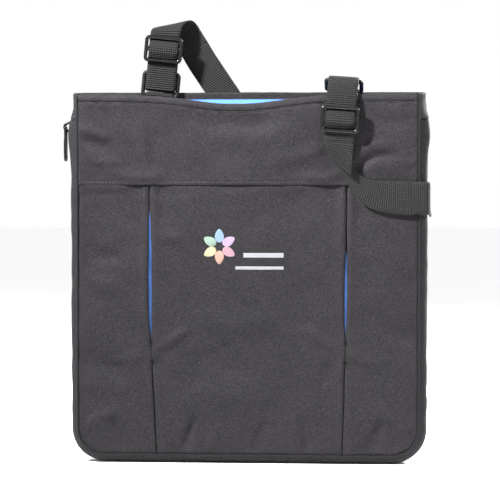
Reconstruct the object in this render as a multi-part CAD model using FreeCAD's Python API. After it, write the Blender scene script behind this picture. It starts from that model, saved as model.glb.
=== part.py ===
"""Portfolio case: a flat zip-gusset document tote with one webbing shoulder strap.

Millimetres, +Z up, front towards -Y.  The model is laid out about the zip plane (y = 0) and the
middle of the case (x = 0), and at the end it is moved so that the origin is the centre of the
footprint of the whole object.
"""
import FreeCAD, Part
import math
import os

V = FreeCAD.Vector
X_AXIS = V(1, 0, 0)
Y_AXIS = V(0, 1, 0)
Z_AXIS = V(0, 0, 1)

# ---- driving dimensions: the case
SEAM_HALF_WIDTH = 169.5     # middle of the case to the piped side seam
GUSSET_BULGE = 8.5          # how far the gusset stands out past the seams
SEAM_CORNER_R = 26.0        # rounded bottom corners, at the seam
BACK_HEIGHT = 370.0         # top edge of the back wall
FRONT_END_HEIGHT = 367.5    # top edge of the front wall at the sides
FRONT_SAG = 8.8             # how far the front top edge hangs lower near the middle
SAG_AT = -8.0
SAG_WIDTH = 62.0
ZIP_TOP = 341.0             # upper end of the zip on both sides
YOKE_EDGE = 277.0           # lower edge of the yoke
HEM = 8.0                   # depth of the turned-in band at the mouth
SHELL = 2.2                 # shell fabric with its stiffening
LINING = 0.6
GUSSET_WALL = 2.4
PIPING_R = 1.0

# ---- driving dimensions: depth of each layer, front is negative
SEAM_Y = 19.5               # the front and back seams stand this far from the zip plane
SHOULDER_Y = 14.0           # the gusset is at full bulge from here to the zip
GUSSET_EDGE_Y = 5.5         # edge of each gusset strip beside the zip
WALL_Y = 16.6               # inner face of the front and back shell
YOKE_OUT = 21.4             # outer face of the yoke
POCKET_OUT = 20.8           # outer face of the pocket panels
UNDERLAY_OUT = 19.4         # outer face of the pleat underlays

# ---- driving dimensions: pocket and pleats
PLEAT_X = 98.5              # middle of each pleat slit
PLEAT_GAP = 3.0
PLEAT_LEAN = 2.0            # the slits drift towards the middle lower down
UNDERLAY_WIDTH = 22.0
TACK_LOW = 100.0
TACK_HIGH = 122.0

# ---- driving dimensions: zip
TAPE_OUT = GUSSET_BULGE - 1.9       # distances outward from the seam outline
TAPE_IN = TAPE_OUT - 0.6
COIL_OUT = GUSSET_BULGE - 0.3
BELLOWS_OUT = TAPE_IN - 0.4         # the folded bellows: its edges and its fold
BELLOWS_FOLD_OUT = BELLOWS_OUT - 7.4
BELLOWS_WALL = 0.8
COIL_EDGE = 0.9
COIL_WIDTH = 1.8
SLIDER_Z = 335.0
SLIDER_LENGTH = 11.0
SLIDER_HALF_WIDTH = 4.9
FLANGE = 0.7
CROWN_HALF = 1.4
PLATE_OUT = GUSSET_BULGE + 1.7      # outer face of the slider's top plate
PLATE = 1.6
INNER_PLATE_OUT = TAPE_IN - 0.6
INNER_PLATE = 1.2
CROWN_OUT = GUSSET_BULGE + 9.7
CROWN_BAR = 1.4
PULL_AXIS_OUT = GUSSET_BULGE + 6.7
PULL_AXIS_Z = 333.4
PULL_LENGTH = 33.0

# ---- driving dimensions: webbing and its plastic fittings
WEB_WIDTH = 30.0
WEB = 1.6
BAR_R = 2.1
RING_WIDTH = 39.0
RING_HEIGHT = 27.0
RING_SPAN = RING_HEIGHT - 2.0 * BAR_R
ADJUSTER_WIDTH = 38.6
ADJUSTER_HEIGHT = 26.8
ADJUSTER_BAR = 3.6
ADJUSTER_DEPTH = 3.6
TAB_CLEAR = 0.35
TAB_WEB = 1.2
TAB_WIDTH = 27.6
TAB_DEPTH_Y = 12.0          # ring pivots are this far behind the zip plane
LAYER = 3.6                 # the two layers of a strap end lie this far either side of the ring
LEFT_PIVOT = V(-91.0, TAB_DEPTH_Y, 366.5)
LEFT_TILT = 5.5             # degrees, the strap ends lean to the right
RIGHT_PIVOT = V(94.5, TAB_DEPTH_Y, 371.5)
RIGHT_TILT = 4.0
RIGHT_LEAN = 66.0           # the right ring has fallen forward by this much
ADJUSTER_GAP = 0.5          # adjuster frame to the webbing behind it
LEFT_ADJUSTER_UP = 46.5     # from the left ring's pivot bar to the adjuster's middle bar
LEFT_FRONT = -LAYER - WEB / 2.0 - ADJUSTER_GAP - ADJUSTER_DEPTH / 2.0
RIGHT_FALL_Y = -39.6        # the fallen strap end hangs this far in front of the ring's pivot
RIGHT_ADJUSTER_UP = -29.5
RIGHT_FRONT = RIGHT_FALL_Y - WEB / 2.0 - ADJUSTER_GAP - ADJUSTER_DEPTH / 2.0

# ---- driving dimensions: the course of the strap
ARCH_START_UP = 60.0        # the arch begins this far above the left ring's pivot bar
ARCH_R = 9.0
ARCH_RISE = 9.0
ARCH_DRIFT = V(19.0, 0, 3.0)
ARCH_TILT_START = 14.0      # degrees the strap leans sideways where the arch begins and ends
ARCH_TILT_END = 32.0
DESCENT = V(0.56, 0, -0.83)
DESCENT_TOP = V(-62.0, 26.0, 420.0)
DESCENT_LANDS = 62.0        # distance down the descent at which it lies on the back wall
BACK_RUN_Y = 21.4           # strap against the back wall
FOLD_AT = V(66.0, 0, 218.0)
SIDE_RUN_OUT = 1.8          # gap between the gusset and the strap wrapped over it
WRAP_CORNER_R = 5.0
WRAP_OVERLAP = 3.0          # how far the wrap reaches in from the side seam
WRAP_FRONT_Z = 263.0
WRAP_BACK_Z = 264.0
FRONT_RUN_Y = -25.0         # strap across the front
FRONT_RUN_START = V(121.0, 0, 283.4)
FRONT_TUCK = V(0.54, 0, -0.84)      # the line under the adjuster from which the front run comes


# ---- sizes of the shapes used only for cutting, well outside the case
FAR = 300.0
DEEP = 60.0
BELOW = -5.0
ABOVE = 400.0


# ---- small helpers
def box(x0, x1, y0, y1, z0, z1):
    return Part.makeBox(x1 - x0, y1 - y0, z1 - z0, V(x0, y0, z0))


def prism(points, direction):
    """A flat polygon pushed along a direction."""
    return Part.Face(Part.makePolygon(list(points) + [points[0]])).extrude(direction)


def layer(points_xz, y0, y1):
    """A polygon given as (x, z) points, with thickness from y0 to y1."""
    return prism([V(x, y0, z) for x, z in points_xz], V(0, y1 - y0, 0))


def outline(out, top, y):
    """The case seen from the front: straight sides, rounded bottom corners, at a distance
    outward from the seam."""
    half = SEAM_HALF_WIDTH + out
    low = GUSSET_BULGE - out
    r = SEAM_CORNER_R + out
    diag = r * (1.0 - math.sqrt(0.5))
    left_arc = Part.Arc(V(-half, y, low + r), V(-half + diag, y, low + diag), V(-half + r, y, low))
    right_arc = Part.Arc(V(half - r, y, low), V(half - diag, y, low + diag), V(half, y, low + r))
    edges = [
        Part.LineSegment(V(-half, y, top), V(-half, y, low + r)),
        left_arc,
        Part.LineSegment(V(-half + r, y, low), V(half - r, y, low)),
        right_arc,
        Part.LineSegment(V(half, y, low + r), V(half, y, top)),
        Part.LineSegment(V(half, y, top), V(-half, y, top)),
    ]
    return Part.Wire([edge.toShape() for edge in edges])


def slab(out, top, y0, y1):
    """A flat sheet with the outline of the case."""
    return Part.Face(outline(out, top, y0)).extrude(V(0, y1 - y0, 0))


def band(profile, thickness, top):
    """A strip that runs down one side, along the bottom and up the other side.  The profile is a
    list of (y, distance outward) for its outer face."""
    over = top + 5.0
    outer = Part.makeLoft([outline(out, over, y) for y, out in profile], True, True)
    inner = Part.makeLoft([outline(out - thickness, over + 5.0, y) for y, out in profile], True, True)
    strip = outer.cut(inner)
    return strip.common(box(-FAR, FAR, -DEEP, DEEP, BELOW, top))


def both_depths(y0, y1, back):
    """A depth range given for the back half, or mirrored for the front half."""
    return (y0, y1) if back else (-y1, -y0)


def bent_web(path_yz, width, thickness=WEB):
    """Webbing bent along a path of (y, z) points, flat across X, with rounded ends."""
    curve = Part.BSplineCurve()
    curve.interpolate([V(0, y, z) for y, z in path_yz])
    count = 6 * len(path_yz)
    stations = [curve.getD1(curve.FirstParameter + (curve.LastParameter - curve.FirstParameter) * i / count)
                for i in range(count + 1)]
    front = []
    back = []
    for point, tangent in stations:
        side = V(0, -tangent.z, tangent.y)
        side.normalize()
        front.append(point + side * (thickness / 2.0))
        back.append(point - side * (thickness / 2.0))
    start = V(-width / 2.0, 0, 0)
    loop = [p + start for p in front + back[::-1]]
    return prism(loop, V(width, 0, 0))


def ribbon(stations, width=WEB_WIDTH, thickness=WEB):
    """Webbing through stations of (middle, direction across the width, direction through it)."""
    wires = []
    for middle, across, through in stations:
        a = V(across).normalize() * (width / 2.0)
        t = V(through).normalize() * (thickness / 2.0)
        corners = [middle - a - t, middle + a - t, middle + a + t, middle - a + t]
        wires.append(Part.makePolygon(corners + corners[:1]))
    return Part.makeLoft(wires, True, True)


def placed(shape, pivot, tilt, lean=0.0):
    """Moves a fitting from its own frame, with the pivot bar along X at the origin, to its place."""
    moved = shape.copy()
    moved.rotate(V(0, 0, 0), X_AXIS, lean)
    moved.rotate(V(0, 0, 0), Y_AXIS, tilt)
    moved.translate(pivot)
    return moved


# ---- back half and front half of the case
def front_top(x):
    """Height of the sagging top edge of the front wall."""
    return FRONT_END_HEIGHT - FRONT_SAG * math.exp(-((x - SAG_AT) / SAG_WIDTH) ** 2)


def under_front_edge(drop):
    """Everything below the front top edge, lowered by a distance."""
    steps = 28
    xs = [-SEAM_HALF_WIDTH + 2.0 * SEAM_HALF_WIDTH * i / steps for i in range(steps + 1)]
    edge = [V(x, -DEEP, front_top(x) - drop) for x in xs]
    lower = [V(FAR, -DEEP, edge[-1].z), V(FAR, -DEEP, BELOW), V(-FAR, -DEEP, BELOW), V(-FAR, -DEEP, edge[0].z)]
    return prism(edge + lower, V(0, 2.0 * DEEP, 0))


def back_panel():
    return slab(0.0, BACK_HEIGHT, WALL_Y, WALL_Y + SHELL)


def back_lining():
    return slab(-GUSSET_WALL - 1.0, BACK_HEIGHT - HEM, WALL_Y - LINING, WALL_Y)


def back_hem_facing():
    half = SEAM_HALF_WIDTH - GUSSET_WALL - 1.0
    return box(-half, half, WALL_Y - LINING, WALL_Y, BACK_HEIGHT - HEM, BACK_HEIGHT)


def front_panel():
    return slab(0.0, BACK_HEIGHT, -WALL_Y - SHELL, -WALL_Y).common(under_front_edge(0.0))


def front_lining():
    sheet = slab(-GUSSET_WALL - 1.0, BACK_HEIGHT, -WALL_Y, -WALL_Y + LINING)
    return sheet.common(under_front_edge(HEM))


def front_hem_facing():
    sheet = slab(-GUSSET_WALL - 1.0, BACK_HEIGHT, -WALL_Y, -WALL_Y + LINING)
    return sheet.common(under_front_edge(0.0)).cut(under_front_edge(HEM))


def yoke():
    sheet = slab(0.0, BACK_HEIGHT, -YOKE_OUT, -WALL_Y - SHELL).common(under_front_edge(0.0))
    return sheet.common(box(-FAR, FAR, -DEEP, 0, YOKE_EDGE, ABOVE))


def slit_x(side, z):
    """Middle of a pleat slit: it drifts a little towards the middle on the way down."""
    return side * (PLEAT_X - PLEAT_LEAN * (YOKE_EDGE - z) / YOKE_EDGE)


def pocket_panel(column):
    """Left, centre or right pocket panel, between the pleat slits."""
    top = YOKE_EDGE
    half = PLEAT_GAP / 2.0
    edges = {
        "left": (lambda z: -FAR, lambda z: slit_x(-1, z) - half),
        "centre": (lambda z: slit_x(-1, z) + half, lambda z: slit_x(1, z) - half),
        "right": (lambda z: slit_x(1, z) + half, lambda z: FAR),
    }
    low_x, high_x = edges[column]
    cut = layer([(low_x(BELOW), BELOW), (high_x(BELOW), BELOW), (high_x(top), top), (low_x(top), top)],
                -POCKET_OUT, -UNDERLAY_OUT)
    return slab(-0.5, top, -POCKET_OUT, -UNDERLAY_OUT).common(cut)


def pleat_underlay(side):
    half = UNDERLAY_WIDTH / 2.0
    low = GUSSET_BULGE + 1.0
    points = [(slit_x(side, low) - half, low), (slit_x(side, low) + half, low),
              (slit_x(side, YOKE_EDGE) + half, YOKE_EDGE), (slit_x(side, YOKE_EDGE) - half, YOKE_EDGE)]
    return layer(points, -UNDERLAY_OUT, -WALL_Y - SHELL)


def pleat_tacks():
    """Where the slit edges are tacked together."""
    tacks = []
    for side in (-1, 1):
        x = slit_x(side, 0.5 * (TACK_LOW + TACK_HIGH))
        tacks.append(box(x - 1.4, x + 1.4, -POCKET_OUT, -UNDERLAY_OUT, TACK_LOW, TACK_HIGH))
    return Part.makeCompound(tacks)


def gusset(back):
    """One gusset strip: from the seam out to full bulge, then flat to the zip."""
    profile = [(GUSSET_EDGE_Y, GUSSET_BULGE), (SHOULDER_Y, GUSSET_BULGE), (SEAM_Y, 0.0)]
    if not back:
        profile = [(-y, out) for y, out in profile][::-1]
    strip = band(profile, GUSSET_WALL, ZIP_TOP)
    wall = slab(2.0 * GUSSET_BULGE, ABOVE, *both_depths(WALL_Y, DEEP, back))
    return strip.cut(wall)


def piping(back):
    """Round piping laid along the seam, just outside the edge of the wall."""
    y = SEAM_Y + PIPING_R + 0.1
    if not back:
        y = -y
    out = PIPING_R + 0.1
    run = Part.Wire(outline(out, ZIP_TOP, y).Edges[:5])
    circle = Part.Circle(V(-SEAM_HALF_WIDTH - out, y, ZIP_TOP), Z_AXIS, PIPING_R)
    return run.makePipeShell([Part.Wire([circle.toShape()])], True, False)


def zipper_tape(back):
    y0, y1 = both_depths(COIL_EDGE, GUSSET_EDGE_Y, back)
    return band([(y0, TAPE_OUT), (y1, TAPE_OUT)], TAPE_OUT - TAPE_IN, ZIP_TOP)


def zipper_coil(back):
    y0, y1 = both_depths(COIL_EDGE, COIL_EDGE + COIL_WIDTH, back)
    return band([(y0, COIL_OUT), (y1, COIL_OUT)], COIL_OUT - TAPE_OUT, ZIP_TOP)


def expansion_bellows():
    """Fabric folded into a V behind the zip, which opens out when the front half swings."""
    reach = GUSSET_EDGE_Y + 0.1
    profile = [(-reach, BELLOWS_OUT), (0.0, BELLOWS_FOLD_OUT), (reach, BELLOWS_OUT)]
    return band(profile, BELLOWS_WALL, ZIP_TOP)


def zip_end_stops():
    stops = []
    for side in (-1, 1):
        inner = side * (SEAM_HALF_WIDTH + TAPE_OUT)
        outer = side * (SEAM_HALF_WIDTH + GUSSET_BULGE)
        x0, x1 = sorted((inner, outer))
        stops.append(box(x0, x1, -2.6, 2.6, ZIP_TOP + 1.0, ZIP_TOP + 4.0))
    return Part.makeCompound(stops)


def gusset_cap(side):
    """The fixed piece of the side above the zip."""
    outer = SEAM_HALF_WIDTH + TAPE_OUT
    x0, x1 = sorted((side * (outer - GUSSET_WALL), side * outer))
    return box(x0, x1, -12.4, WALL_Y, ZIP_TOP + 3.4, FRONT_END_HEIGHT)


def emblem():
    """A plain six-petal rosette above two short bars."""
    y = -POCKET_OUT
    thin = -0.4
    centre_x, centre_z = -28.0, 216.0
    petals = []
    for i in range(6):
        angle = math.radians(60.0 * i)
        ux, uz = math.cos(angle), math.sin(angle)
        inner, outer, half = 4.0, 17.0, 4.4
        mid = 0.55 * (inner + outer)
        points = [
            (centre_x + ux * inner, centre_z + uz * inner),
            (centre_x + ux * mid - uz * half, centre_z + uz * mid + ux * half),
            (centre_x + ux * outer, centre_z + uz * outer),
            (centre_x + ux * mid + uz * half, centre_z + uz * mid - ux * half),
        ]
        petals.append(layer(points, y, y + thin))
    bars = [box(-4.0, 36.0, y + thin, y, 205.0, 210.0), box(-12.0, 36.0, y + thin, y, 193.0, 196.5)]
    return Part.makeCompound(petals + bars)


# ---- zip slider and puller, on the left gusset
def from_seam(out):
    """X of a point on the left side, at a distance outward from the seam."""
    return -SEAM_HALF_WIDTH - out


def zip_slider():
    half_l = SLIDER_LENGTH / 2.0
    z0, z1 = SLIDER_Z - half_l, SLIDER_Z + half_l
    wide = SLIDER_HALF_WIDTH
    under = PLATE_OUT - PLATE
    outer_plate = box(from_seam(PLATE_OUT), from_seam(under), -wide, wide, z0, z1)
    inner_plate = box(from_seam(INNER_PLATE_OUT), from_seam(INNER_PLATE_OUT - INNER_PLATE), -3.4, 3.4, z0, z1)
    post = box(from_seam(under + 0.1), from_seam(INNER_PLATE_OUT - 0.1), -0.5, 0.5, z1 - 4.0, z1 - 0.5)
    flanges = [box(from_seam(under + 0.1), from_seam(TAPE_OUT + 0.5), y0, y0 + FLANGE, z0, z1)
               for y0 in (-wide, wide - FLANGE)]
    body = outer_plate.fuse([inner_plate, post] + flanges)
    crown = box(from_seam(CROWN_OUT), from_seam(PLATE_OUT - 0.1), -CROWN_HALF, CROWN_HALF, z0 + 0.2, z1)
    arch = [edge for edge in crown.Edges if abs(edge.CenterOfMass.x - from_seam(CROWN_OUT)) < 0.01
            and edge.BoundBox.YLength > 1.0]
    crown = crown.makeFillet(3.0, arch)
    window = box(from_seam(CROWN_OUT - CROWN_BAR), from_seam(PLATE_OUT + 1.2), -3, 3, z0 + 1.6, z1 - 1.6)
    return body.fuse(crown.cut(window)).removeSplitter()


def zip_puller():
    """Flat tab that hangs from the crown by a cross bar."""
    axis_x = from_seam(PULL_AXIS_OUT)
    bar = Part.makeCylinder(1.0, 7.0, V(axis_x, -3.5, PULL_AXIS_Z), Y_AXIS)
    arms = [box(axis_x - 1.0, axis_x + 1.0, y0, y0 + 1.4, PULL_AXIS_Z - 8.0, PULL_AXIS_Z) for y0 in (-3.5, 2.1)]
    plate = box(axis_x - 1.0, axis_x + 1.0, -4.5, 4.5, PULL_AXIS_Z - PULL_LENGTH, PULL_AXIS_Z - 6.2)
    corners = [edge for edge in plate.Edges if edge.BoundBox.XLength > 1.0]
    plate = plate.makeFillet(2.2, corners)
    return bar.fuse(arms + [plate]).removeSplitter()


# ---- rings, adjusters and strap
def ring():
    """Rectangular ring with round bars; its lower bar lies along X through the origin."""
    half_w = RING_WIDTH / 2.0 - BAR_R
    low, high = 0.0, RING_SPAN
    r = 3.2
    diag = r * (1.0 - math.sqrt(0.5))
    corners = [(-half_w, low, 1, 1), (half_w, low, -1, 1), (half_w, high, -1, -1), (-half_w, high, 1, -1)]
    edges = []
    ends = []
    for i, (x, z, sx, sz) in enumerate(corners):
        on_x = V(x + sx * r, 0, z)
        on_z = V(x, 0, z + sz * r)
        mid = V(x + sx * diag, 0, z + sz * diag)
        first, last = (on_z, on_x) if i % 2 == 0 else (on_x, on_z)
        edges.append(Part.Arc(first, mid, last).toShape())
        ends.append((first, last))
    for i in range(4):
        edges.append(Part.LineSegment(ends[i][1], ends[(i + 1) % 4][0]).toShape())
    solids = []
    for edge in edges:
        p0 = edge.valueAt(edge.FirstParameter)
        tangent = edge.tangentAt(edge.FirstParameter)
        circle = Part.Wire([Part.Circle(p0, tangent, BAR_R).toShape()])
        solids.append(Part.Wire([edge]).makePipeShell([circle], True, False))
    return solids[0].fuse(solids[1:]).removeSplitter()


def tab(pivot, tilt):
    """Webbing loop round a ring's lower bar, with its tail sewn to the back wall."""
    inner = BAR_R + TAB_CLEAR
    outer = inner + TAB_WEB
    half = TAB_WIDTH / 2.0
    loop = Part.makeCylinder(outer, 2.0 * half, V(-half, 0, 0), X_AXIS)
    tail = box(-half, half, outer - 2.0 * TAB_WEB, outer, -27.0, 0.0)
    hole = Part.makeCylinder(inner, 2.0 * half + 2.0, V(-half - 1.0, 0, 0), X_AXIS)
    return placed(loop.fuse(tail).cut(hole).removeSplitter(), pivot, tilt)


def adjuster_frame(depth):
    """Flat three-bar adjuster, centred on its middle bar."""
    w, h, bar = ADJUSTER_WIDTH, ADJUSTER_HEIGHT, ADJUSTER_BAR
    plate = box(-w / 2.0, w / 2.0, -depth / 2.0, depth / 2.0, -h / 2.0, h / 2.0)
    plate = plate.makeFillet(4.5, [e for e in plate.Edges if e.BoundBox.YLength > depth / 2.0])
    slot_h = (h - 3.0 * bar) / 2.0
    for side in (-1, 1):
        z = side * (bar + slot_h) / 2.0
        slot = box(-w / 2.0 + bar, w / 2.0 - bar, -depth, depth, z - slot_h / 2.0, z + slot_h / 2.0)
        plate = plate.cut(slot)
    rims = [e for e in plate.Edges if abs(abs(e.CenterOfMass.y) - depth / 2.0) < 0.01
            and e.BoundBox.YLength < 0.01]
    return plate.makeChamfer(0.5, rims)


def adjuster_patch(depth):
    """The strap where it passes over the middle bar."""
    front = -depth / 2.0
    path = [(depth / 2.0 - 0.4, 8.2), (front + 1.2, 6.0), (front - 0.6, 3.3), (front - 1.3, 0.0),
            (front - 0.6, -3.3), (front + 1.2, -6.0), (depth / 2.0 - 0.4, -8.2)]
    return bent_web(path, WEB_WIDTH - 1.0, thickness=1.2)


def left_strap_end():
    """Doubled webbing through the left ring: the loop hangs low in the ring's window."""
    fold = 5.4 + LAYER
    arc = [(LAYER * math.sin(math.radians(a)), fold - LAYER * math.cos(math.radians(a)))
           for a in (-90, -60, -30, 0, 30, 60, 90)]
    path = [(-LAYER, 59.5), (-LAYER, 40.0), (-LAYER, 20.0)] + arc + [(LAYER, 20.0), (LAYER, 40.0), (LAYER, 58.0)]
    return placed(bent_web(path, WEB_WIDTH), LEFT_PIVOT, LEFT_TILT)


def left_strap_arch():
    """The strap above the adjuster: it rises, bends back and starts down behind the case."""
    stations = []
    steps = 10
    up = V(math.sin(math.radians(LEFT_TILT)), 0, math.cos(math.radians(LEFT_TILT)))
    base = LEFT_PIVOT + up * ARCH_START_UP + V(0, -LAYER, 0)
    for i in range(steps + 1):
        t = i / steps
        turn = math.pi * t
        middle = base + ARCH_DRIFT * t + V(0, ARCH_R * (1.0 - math.cos(turn)), ARCH_RISE * math.sin(turn))
        lean = ARCH_TILT_START + (ARCH_TILT_END - ARCH_TILT_START) * t if i else -LEFT_TILT
        wide = V(math.cos(math.radians(lean)), 0, math.sin(math.radians(lean)))
        tangent = ARCH_DRIFT * (1.0 / math.pi) + V(0, ARCH_R * math.sin(turn), ARCH_RISE * math.cos(turn))
        stations.append((middle, wide, wide.cross(tangent)))
    return ribbon(stations)


def right_strap_end():
    """Doubled webbing over the fallen right ring's far bar, hanging in front of the hem."""
    lean = math.radians(RIGHT_LEAN)
    bar = V(0, -RING_SPAN * math.sin(lean), RING_SPAN * math.cos(lean))
    r = BAR_R + 0.5 + WEB / 2.0
    arc = []
    for angle in (-60, -20, 20, 60, 100):
        a = math.radians(angle)
        arc.append((bar.y + r * math.cos(a), bar.z + r * math.sin(a)))
    fall = RIGHT_FALL_Y
    inner = [(fall + 3.0, -45.0), (fall + 3.0, -30.0), (fall + 3.2, -14.0), (fall + 4.3, -3.0), (-29.0, 4.0)]
    outer = [(-26.5, 11.6), (-33.5, 4.6), (-38.0, -5.0), (fall, -16.0), (fall, -32.0), (fall, -50.0),
             (fall, -70.0)]
    return placed(bent_web(inner + arc + outer, WEB_WIDTH), RIGHT_PIVOT, RIGHT_TILT)


def edge_cross(p, d, q, e):
    """Where the line through p along d meets the line through q along e, in the XZ plane."""
    det = d.x * -e.z + e.x * d.z
    t = ((q.x - p.x) * -e.z + e.x * (q.z - p.z)) / det
    return V(p.x + d.x * t, 0, p.z + d.z * t)


def strip_between(p, d, start_q, start_e, end_q, end_e, y):
    """Straight webbing along d through p, lying flat at depth y, cut by two lines."""
    d = V(d).normalize()
    across = V(-d.z, 0, d.x) * (WEB_WIDTH / 2.0)
    corners = [
        edge_cross(p - across, d, start_q, start_e),
        edge_cross(p - across, d, end_q, end_e),
        edge_cross(p + across, d, end_q, end_e),
        edge_cross(p + across, d, start_q, start_e),
    ]
    return layer([(c.x, c.z) for c in corners], y, y + WEB)


def fold_line():
    """Direction of the crease between the two runs behind the case."""
    rise = back_rise_direction()
    down = V(DESCENT).normalize()
    return (down + rise).normalize()


def back_rise_direction():
    edge = V(SEAM_HALF_WIDTH + GUSSET_BULGE, 0, WRAP_BACK_Z)
    return (edge - V(FOLD_AT.x, 0, FOLD_AT.z)).normalize()


def back_descent():
    """From the left arch, leaning in to lie against the top of the back wall."""
    d = V(DESCENT).normalize()
    across = V(-d.z, 0, d.x)
    stations = []
    landed = BACK_RUN_Y + WEB / 2.0
    for along, y in ((0.0, DESCENT_TOP.y), (20.0, 24.4), (42.0, 22.6), (DESCENT_LANDS, landed)):
        middle = V(DESCENT_TOP.x + d.x * along, y, DESCENT_TOP.z + d.z * along)
        stations.append((middle, across, V(0, 1, 0)))
    return ribbon(stations)


def back_fall():
    d = V(DESCENT).normalize()
    start = V(DESCENT_TOP) + d * DESCENT_LANDS
    across = V(-d.z, 0, d.x)
    on_fold = V(FOLD_AT)
    return strip_between(start, d, start, across, on_fold, fold_line(), BACK_RUN_Y)


def back_fold():
    """The crease: a slim half-round along the fold line."""
    f = fold_line()
    down = V(DESCENT).normalize()
    sine = abs(f.x * down.z - f.z * down.x)
    length = WEB_WIDTH / sine - 0.4
    middle = descent_meets_fold()
    start = middle - f * (length / 2.0)
    y = BACK_RUN_Y + WEB + 0.05
    rod = Part.makeCylinder(WEB, length, V(start.x, y, start.z), f)
    below = V(f.z, 0, -f.x)
    if below.z > 0:
        below = below * -1.0
    a = start - f * 5.0
    b = start + f * (length + 5.0)
    half_space = prism([V(a.x, 0, a.z), V(b.x, 0, b.z), V(b.x + below.x * 9, 0, b.z + below.z * 9),
                        V(a.x + below.x * 9, 0, a.z + below.z * 9)], V(0, 60, 0))
    return rod.common(half_space)


def descent_meets_fold():
    d = V(DESCENT).normalize()
    return edge_cross(V(DESCENT_TOP), d, V(FOLD_AT), fold_line())


def back_rise():
    """From the crease up to the right edge of the back."""
    rise = back_rise_direction()
    middle = descent_meets_fold()
    edge = V(SEAM_HALF_WIDTH - WRAP_OVERLAP, 0, 0)
    return strip_between(middle, rise, middle, fold_line(), edge, Z_AXIS, BACK_RUN_Y + WEB + 0.1)


def wrap(y_from, y_to, corner_at_back):
    """The strap over the right gusset: a bent band cut to the strap's slope."""
    out = SEAM_HALF_WIDTH + GUSSET_BULGE + SIDE_RUN_OUT
    x_in = SEAM_HALF_WIDTH - WRAP_OVERLAP
    r = WRAP_CORNER_R
    y_flat = y_to if corner_at_back else y_from
    turn = -1.0 if corner_at_back else 1.0
    corner = [V(out - r + r * math.cos(a), y_flat + turn * r - turn * r * math.sin(a), 200.0)
              for a in (math.radians(10.0 * k) for k in range(10))]
    other = y_from if corner_at_back else y_to
    centre_line = [V(out, other, 200.0)] + corner + [V(x_in, y_flat, 200.0)]
    outer, inner = [], []
    for i, p in enumerate(centre_line):
        before = centre_line[max(i - 1, 0)]
        after = centre_line[min(i + 1, len(centre_line) - 1)]
        t = (after - before).normalize()
        side = V(t.y, -t.x, 0)
        outer.append(p + side * (WEB / 2.0))
        inner.append(p - side * (WEB / 2.0))
    return prism(outer + inner[::-1], V(0, 0, 120.0))


def sloped_side_band(z_mid_front, z_mid_back):
    """Keeps the part of the side wrap that lies within the strap's width."""
    half = 16.2
    corners = ((-DEEP, -half), (DEEP, -half), (DEEP, half), (-DEEP, half))
    points = [V(0, y, z_at(y, z_mid_front, z_mid_back) + off) for y, off in corners]
    return prism(points, V(FAR, 0, 0))


def z_at(y, z_front, z_back):
    return z_front + (z_back - z_front) * (y + 24.0) / 48.0


def strap_wrap_right():
    y_back = BACK_RUN_Y + 1.5 * WEB + 0.1
    return wrap(-7.0, y_back, True).common(sloped_side_band(WRAP_FRONT_Z, WRAP_BACK_Z))


def strap_front_run():
    """From the fold under the right adjuster, across the front and round the front right edge."""
    end = V(SEAM_HALF_WIDTH - WRAP_OVERLAP, 0, WRAP_FRONT_Z)
    d = (end - FRONT_RUN_START).normalize()
    corner_band = wrap(FRONT_RUN_Y, -9.5, False).common(sloped_side_band(WRAP_FRONT_Z, WRAP_BACK_Z))
    flat = strip_between(FRONT_RUN_START, d, FRONT_RUN_START, FRONT_TUCK, end, Z_AXIS,
                         FRONT_RUN_Y - WEB / 2.0)
    return flat.fuse(corner_band).removeSplitter()


# ---- all the nodes
def build():
    nodes = {
        "back_panel": back_panel(),
        "back_lining": back_lining(),
        "back_hem_facing": back_hem_facing(),
        "back_gusset": gusset(True),
        "back_piping": piping(True),
        "zipper_tape_back": zipper_tape(True),
        "zipper_coil_back": zipper_coil(True),
        "zip_end_stops": zip_end_stops(),
        "gusset_cap_left": gusset_cap(-1),
        "gusset_cap_right": gusset_cap(1),
        "expansion_bellows": expansion_bellows(),
        "ring_tab_left": tab(LEFT_PIVOT, LEFT_TILT),
        "ring_tab_right": tab(RIGHT_PIVOT, RIGHT_TILT),
        "strap_back_descent": back_descent(),
        "strap_back_fall": back_fall(),
        "strap_back_fold": back_fold(),
        "strap_back_rise": back_rise(),
        "strap_wrap_right": strap_wrap_right(),
        "front_panel": front_panel(),
        "front_lining": front_lining(),
        "front_hem_facing": front_hem_facing(),
        "yoke": yoke(),
        "pleat_tacks": pleat_tacks(),
        "front_gusset": gusset(False),
        "front_piping": piping(False),
        "zipper_tape_front": zipper_tape(False),
        "zipper_coil_front": zipper_coil(False),
        "emblem": emblem(),
        "strap_front_run": strap_front_run(),
        "zip_slider": zip_slider(),
        "zip_puller": zip_puller(),
        "ring_left": placed(ring(), LEFT_PIVOT, LEFT_TILT),
        "ring_right": placed(ring(), RIGHT_PIVOT, RIGHT_TILT, RIGHT_LEAN),
        "strap_end_left": left_strap_end(),
        "strap_arch_left": left_strap_arch(),
        "strap_end_right": right_strap_end(),
    }
    for column in ("left", "centre", "right"):
        nodes["pocket_" + column + "_panel"] = pocket_panel(column)
    for name, side in (("left", -1), ("right", 1)):
        nodes["pleat_underlay_" + name] = pleat_underlay(side)
    fittings = (
        ("left", V(0, LEFT_FRONT, LEFT_ADJUSTER_UP), LEFT_PIVOT, LEFT_TILT),
        ("right", V(0, RIGHT_FRONT, RIGHT_ADJUSTER_UP), RIGHT_PIVOT, RIGHT_TILT),
    )
    for name, offset, pivot, tilt in fittings:
        frame = adjuster_frame(ADJUSTER_DEPTH)
        patch = adjuster_patch(ADJUSTER_DEPTH)
        frame.translate(offset)
        patch.translate(offset)
        nodes["adjuster_frame_" + name] = placed(frame, pivot, tilt)
        nodes["adjuster_webbing_" + name] = placed(patch, pivot, tilt)
    return nodes


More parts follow.
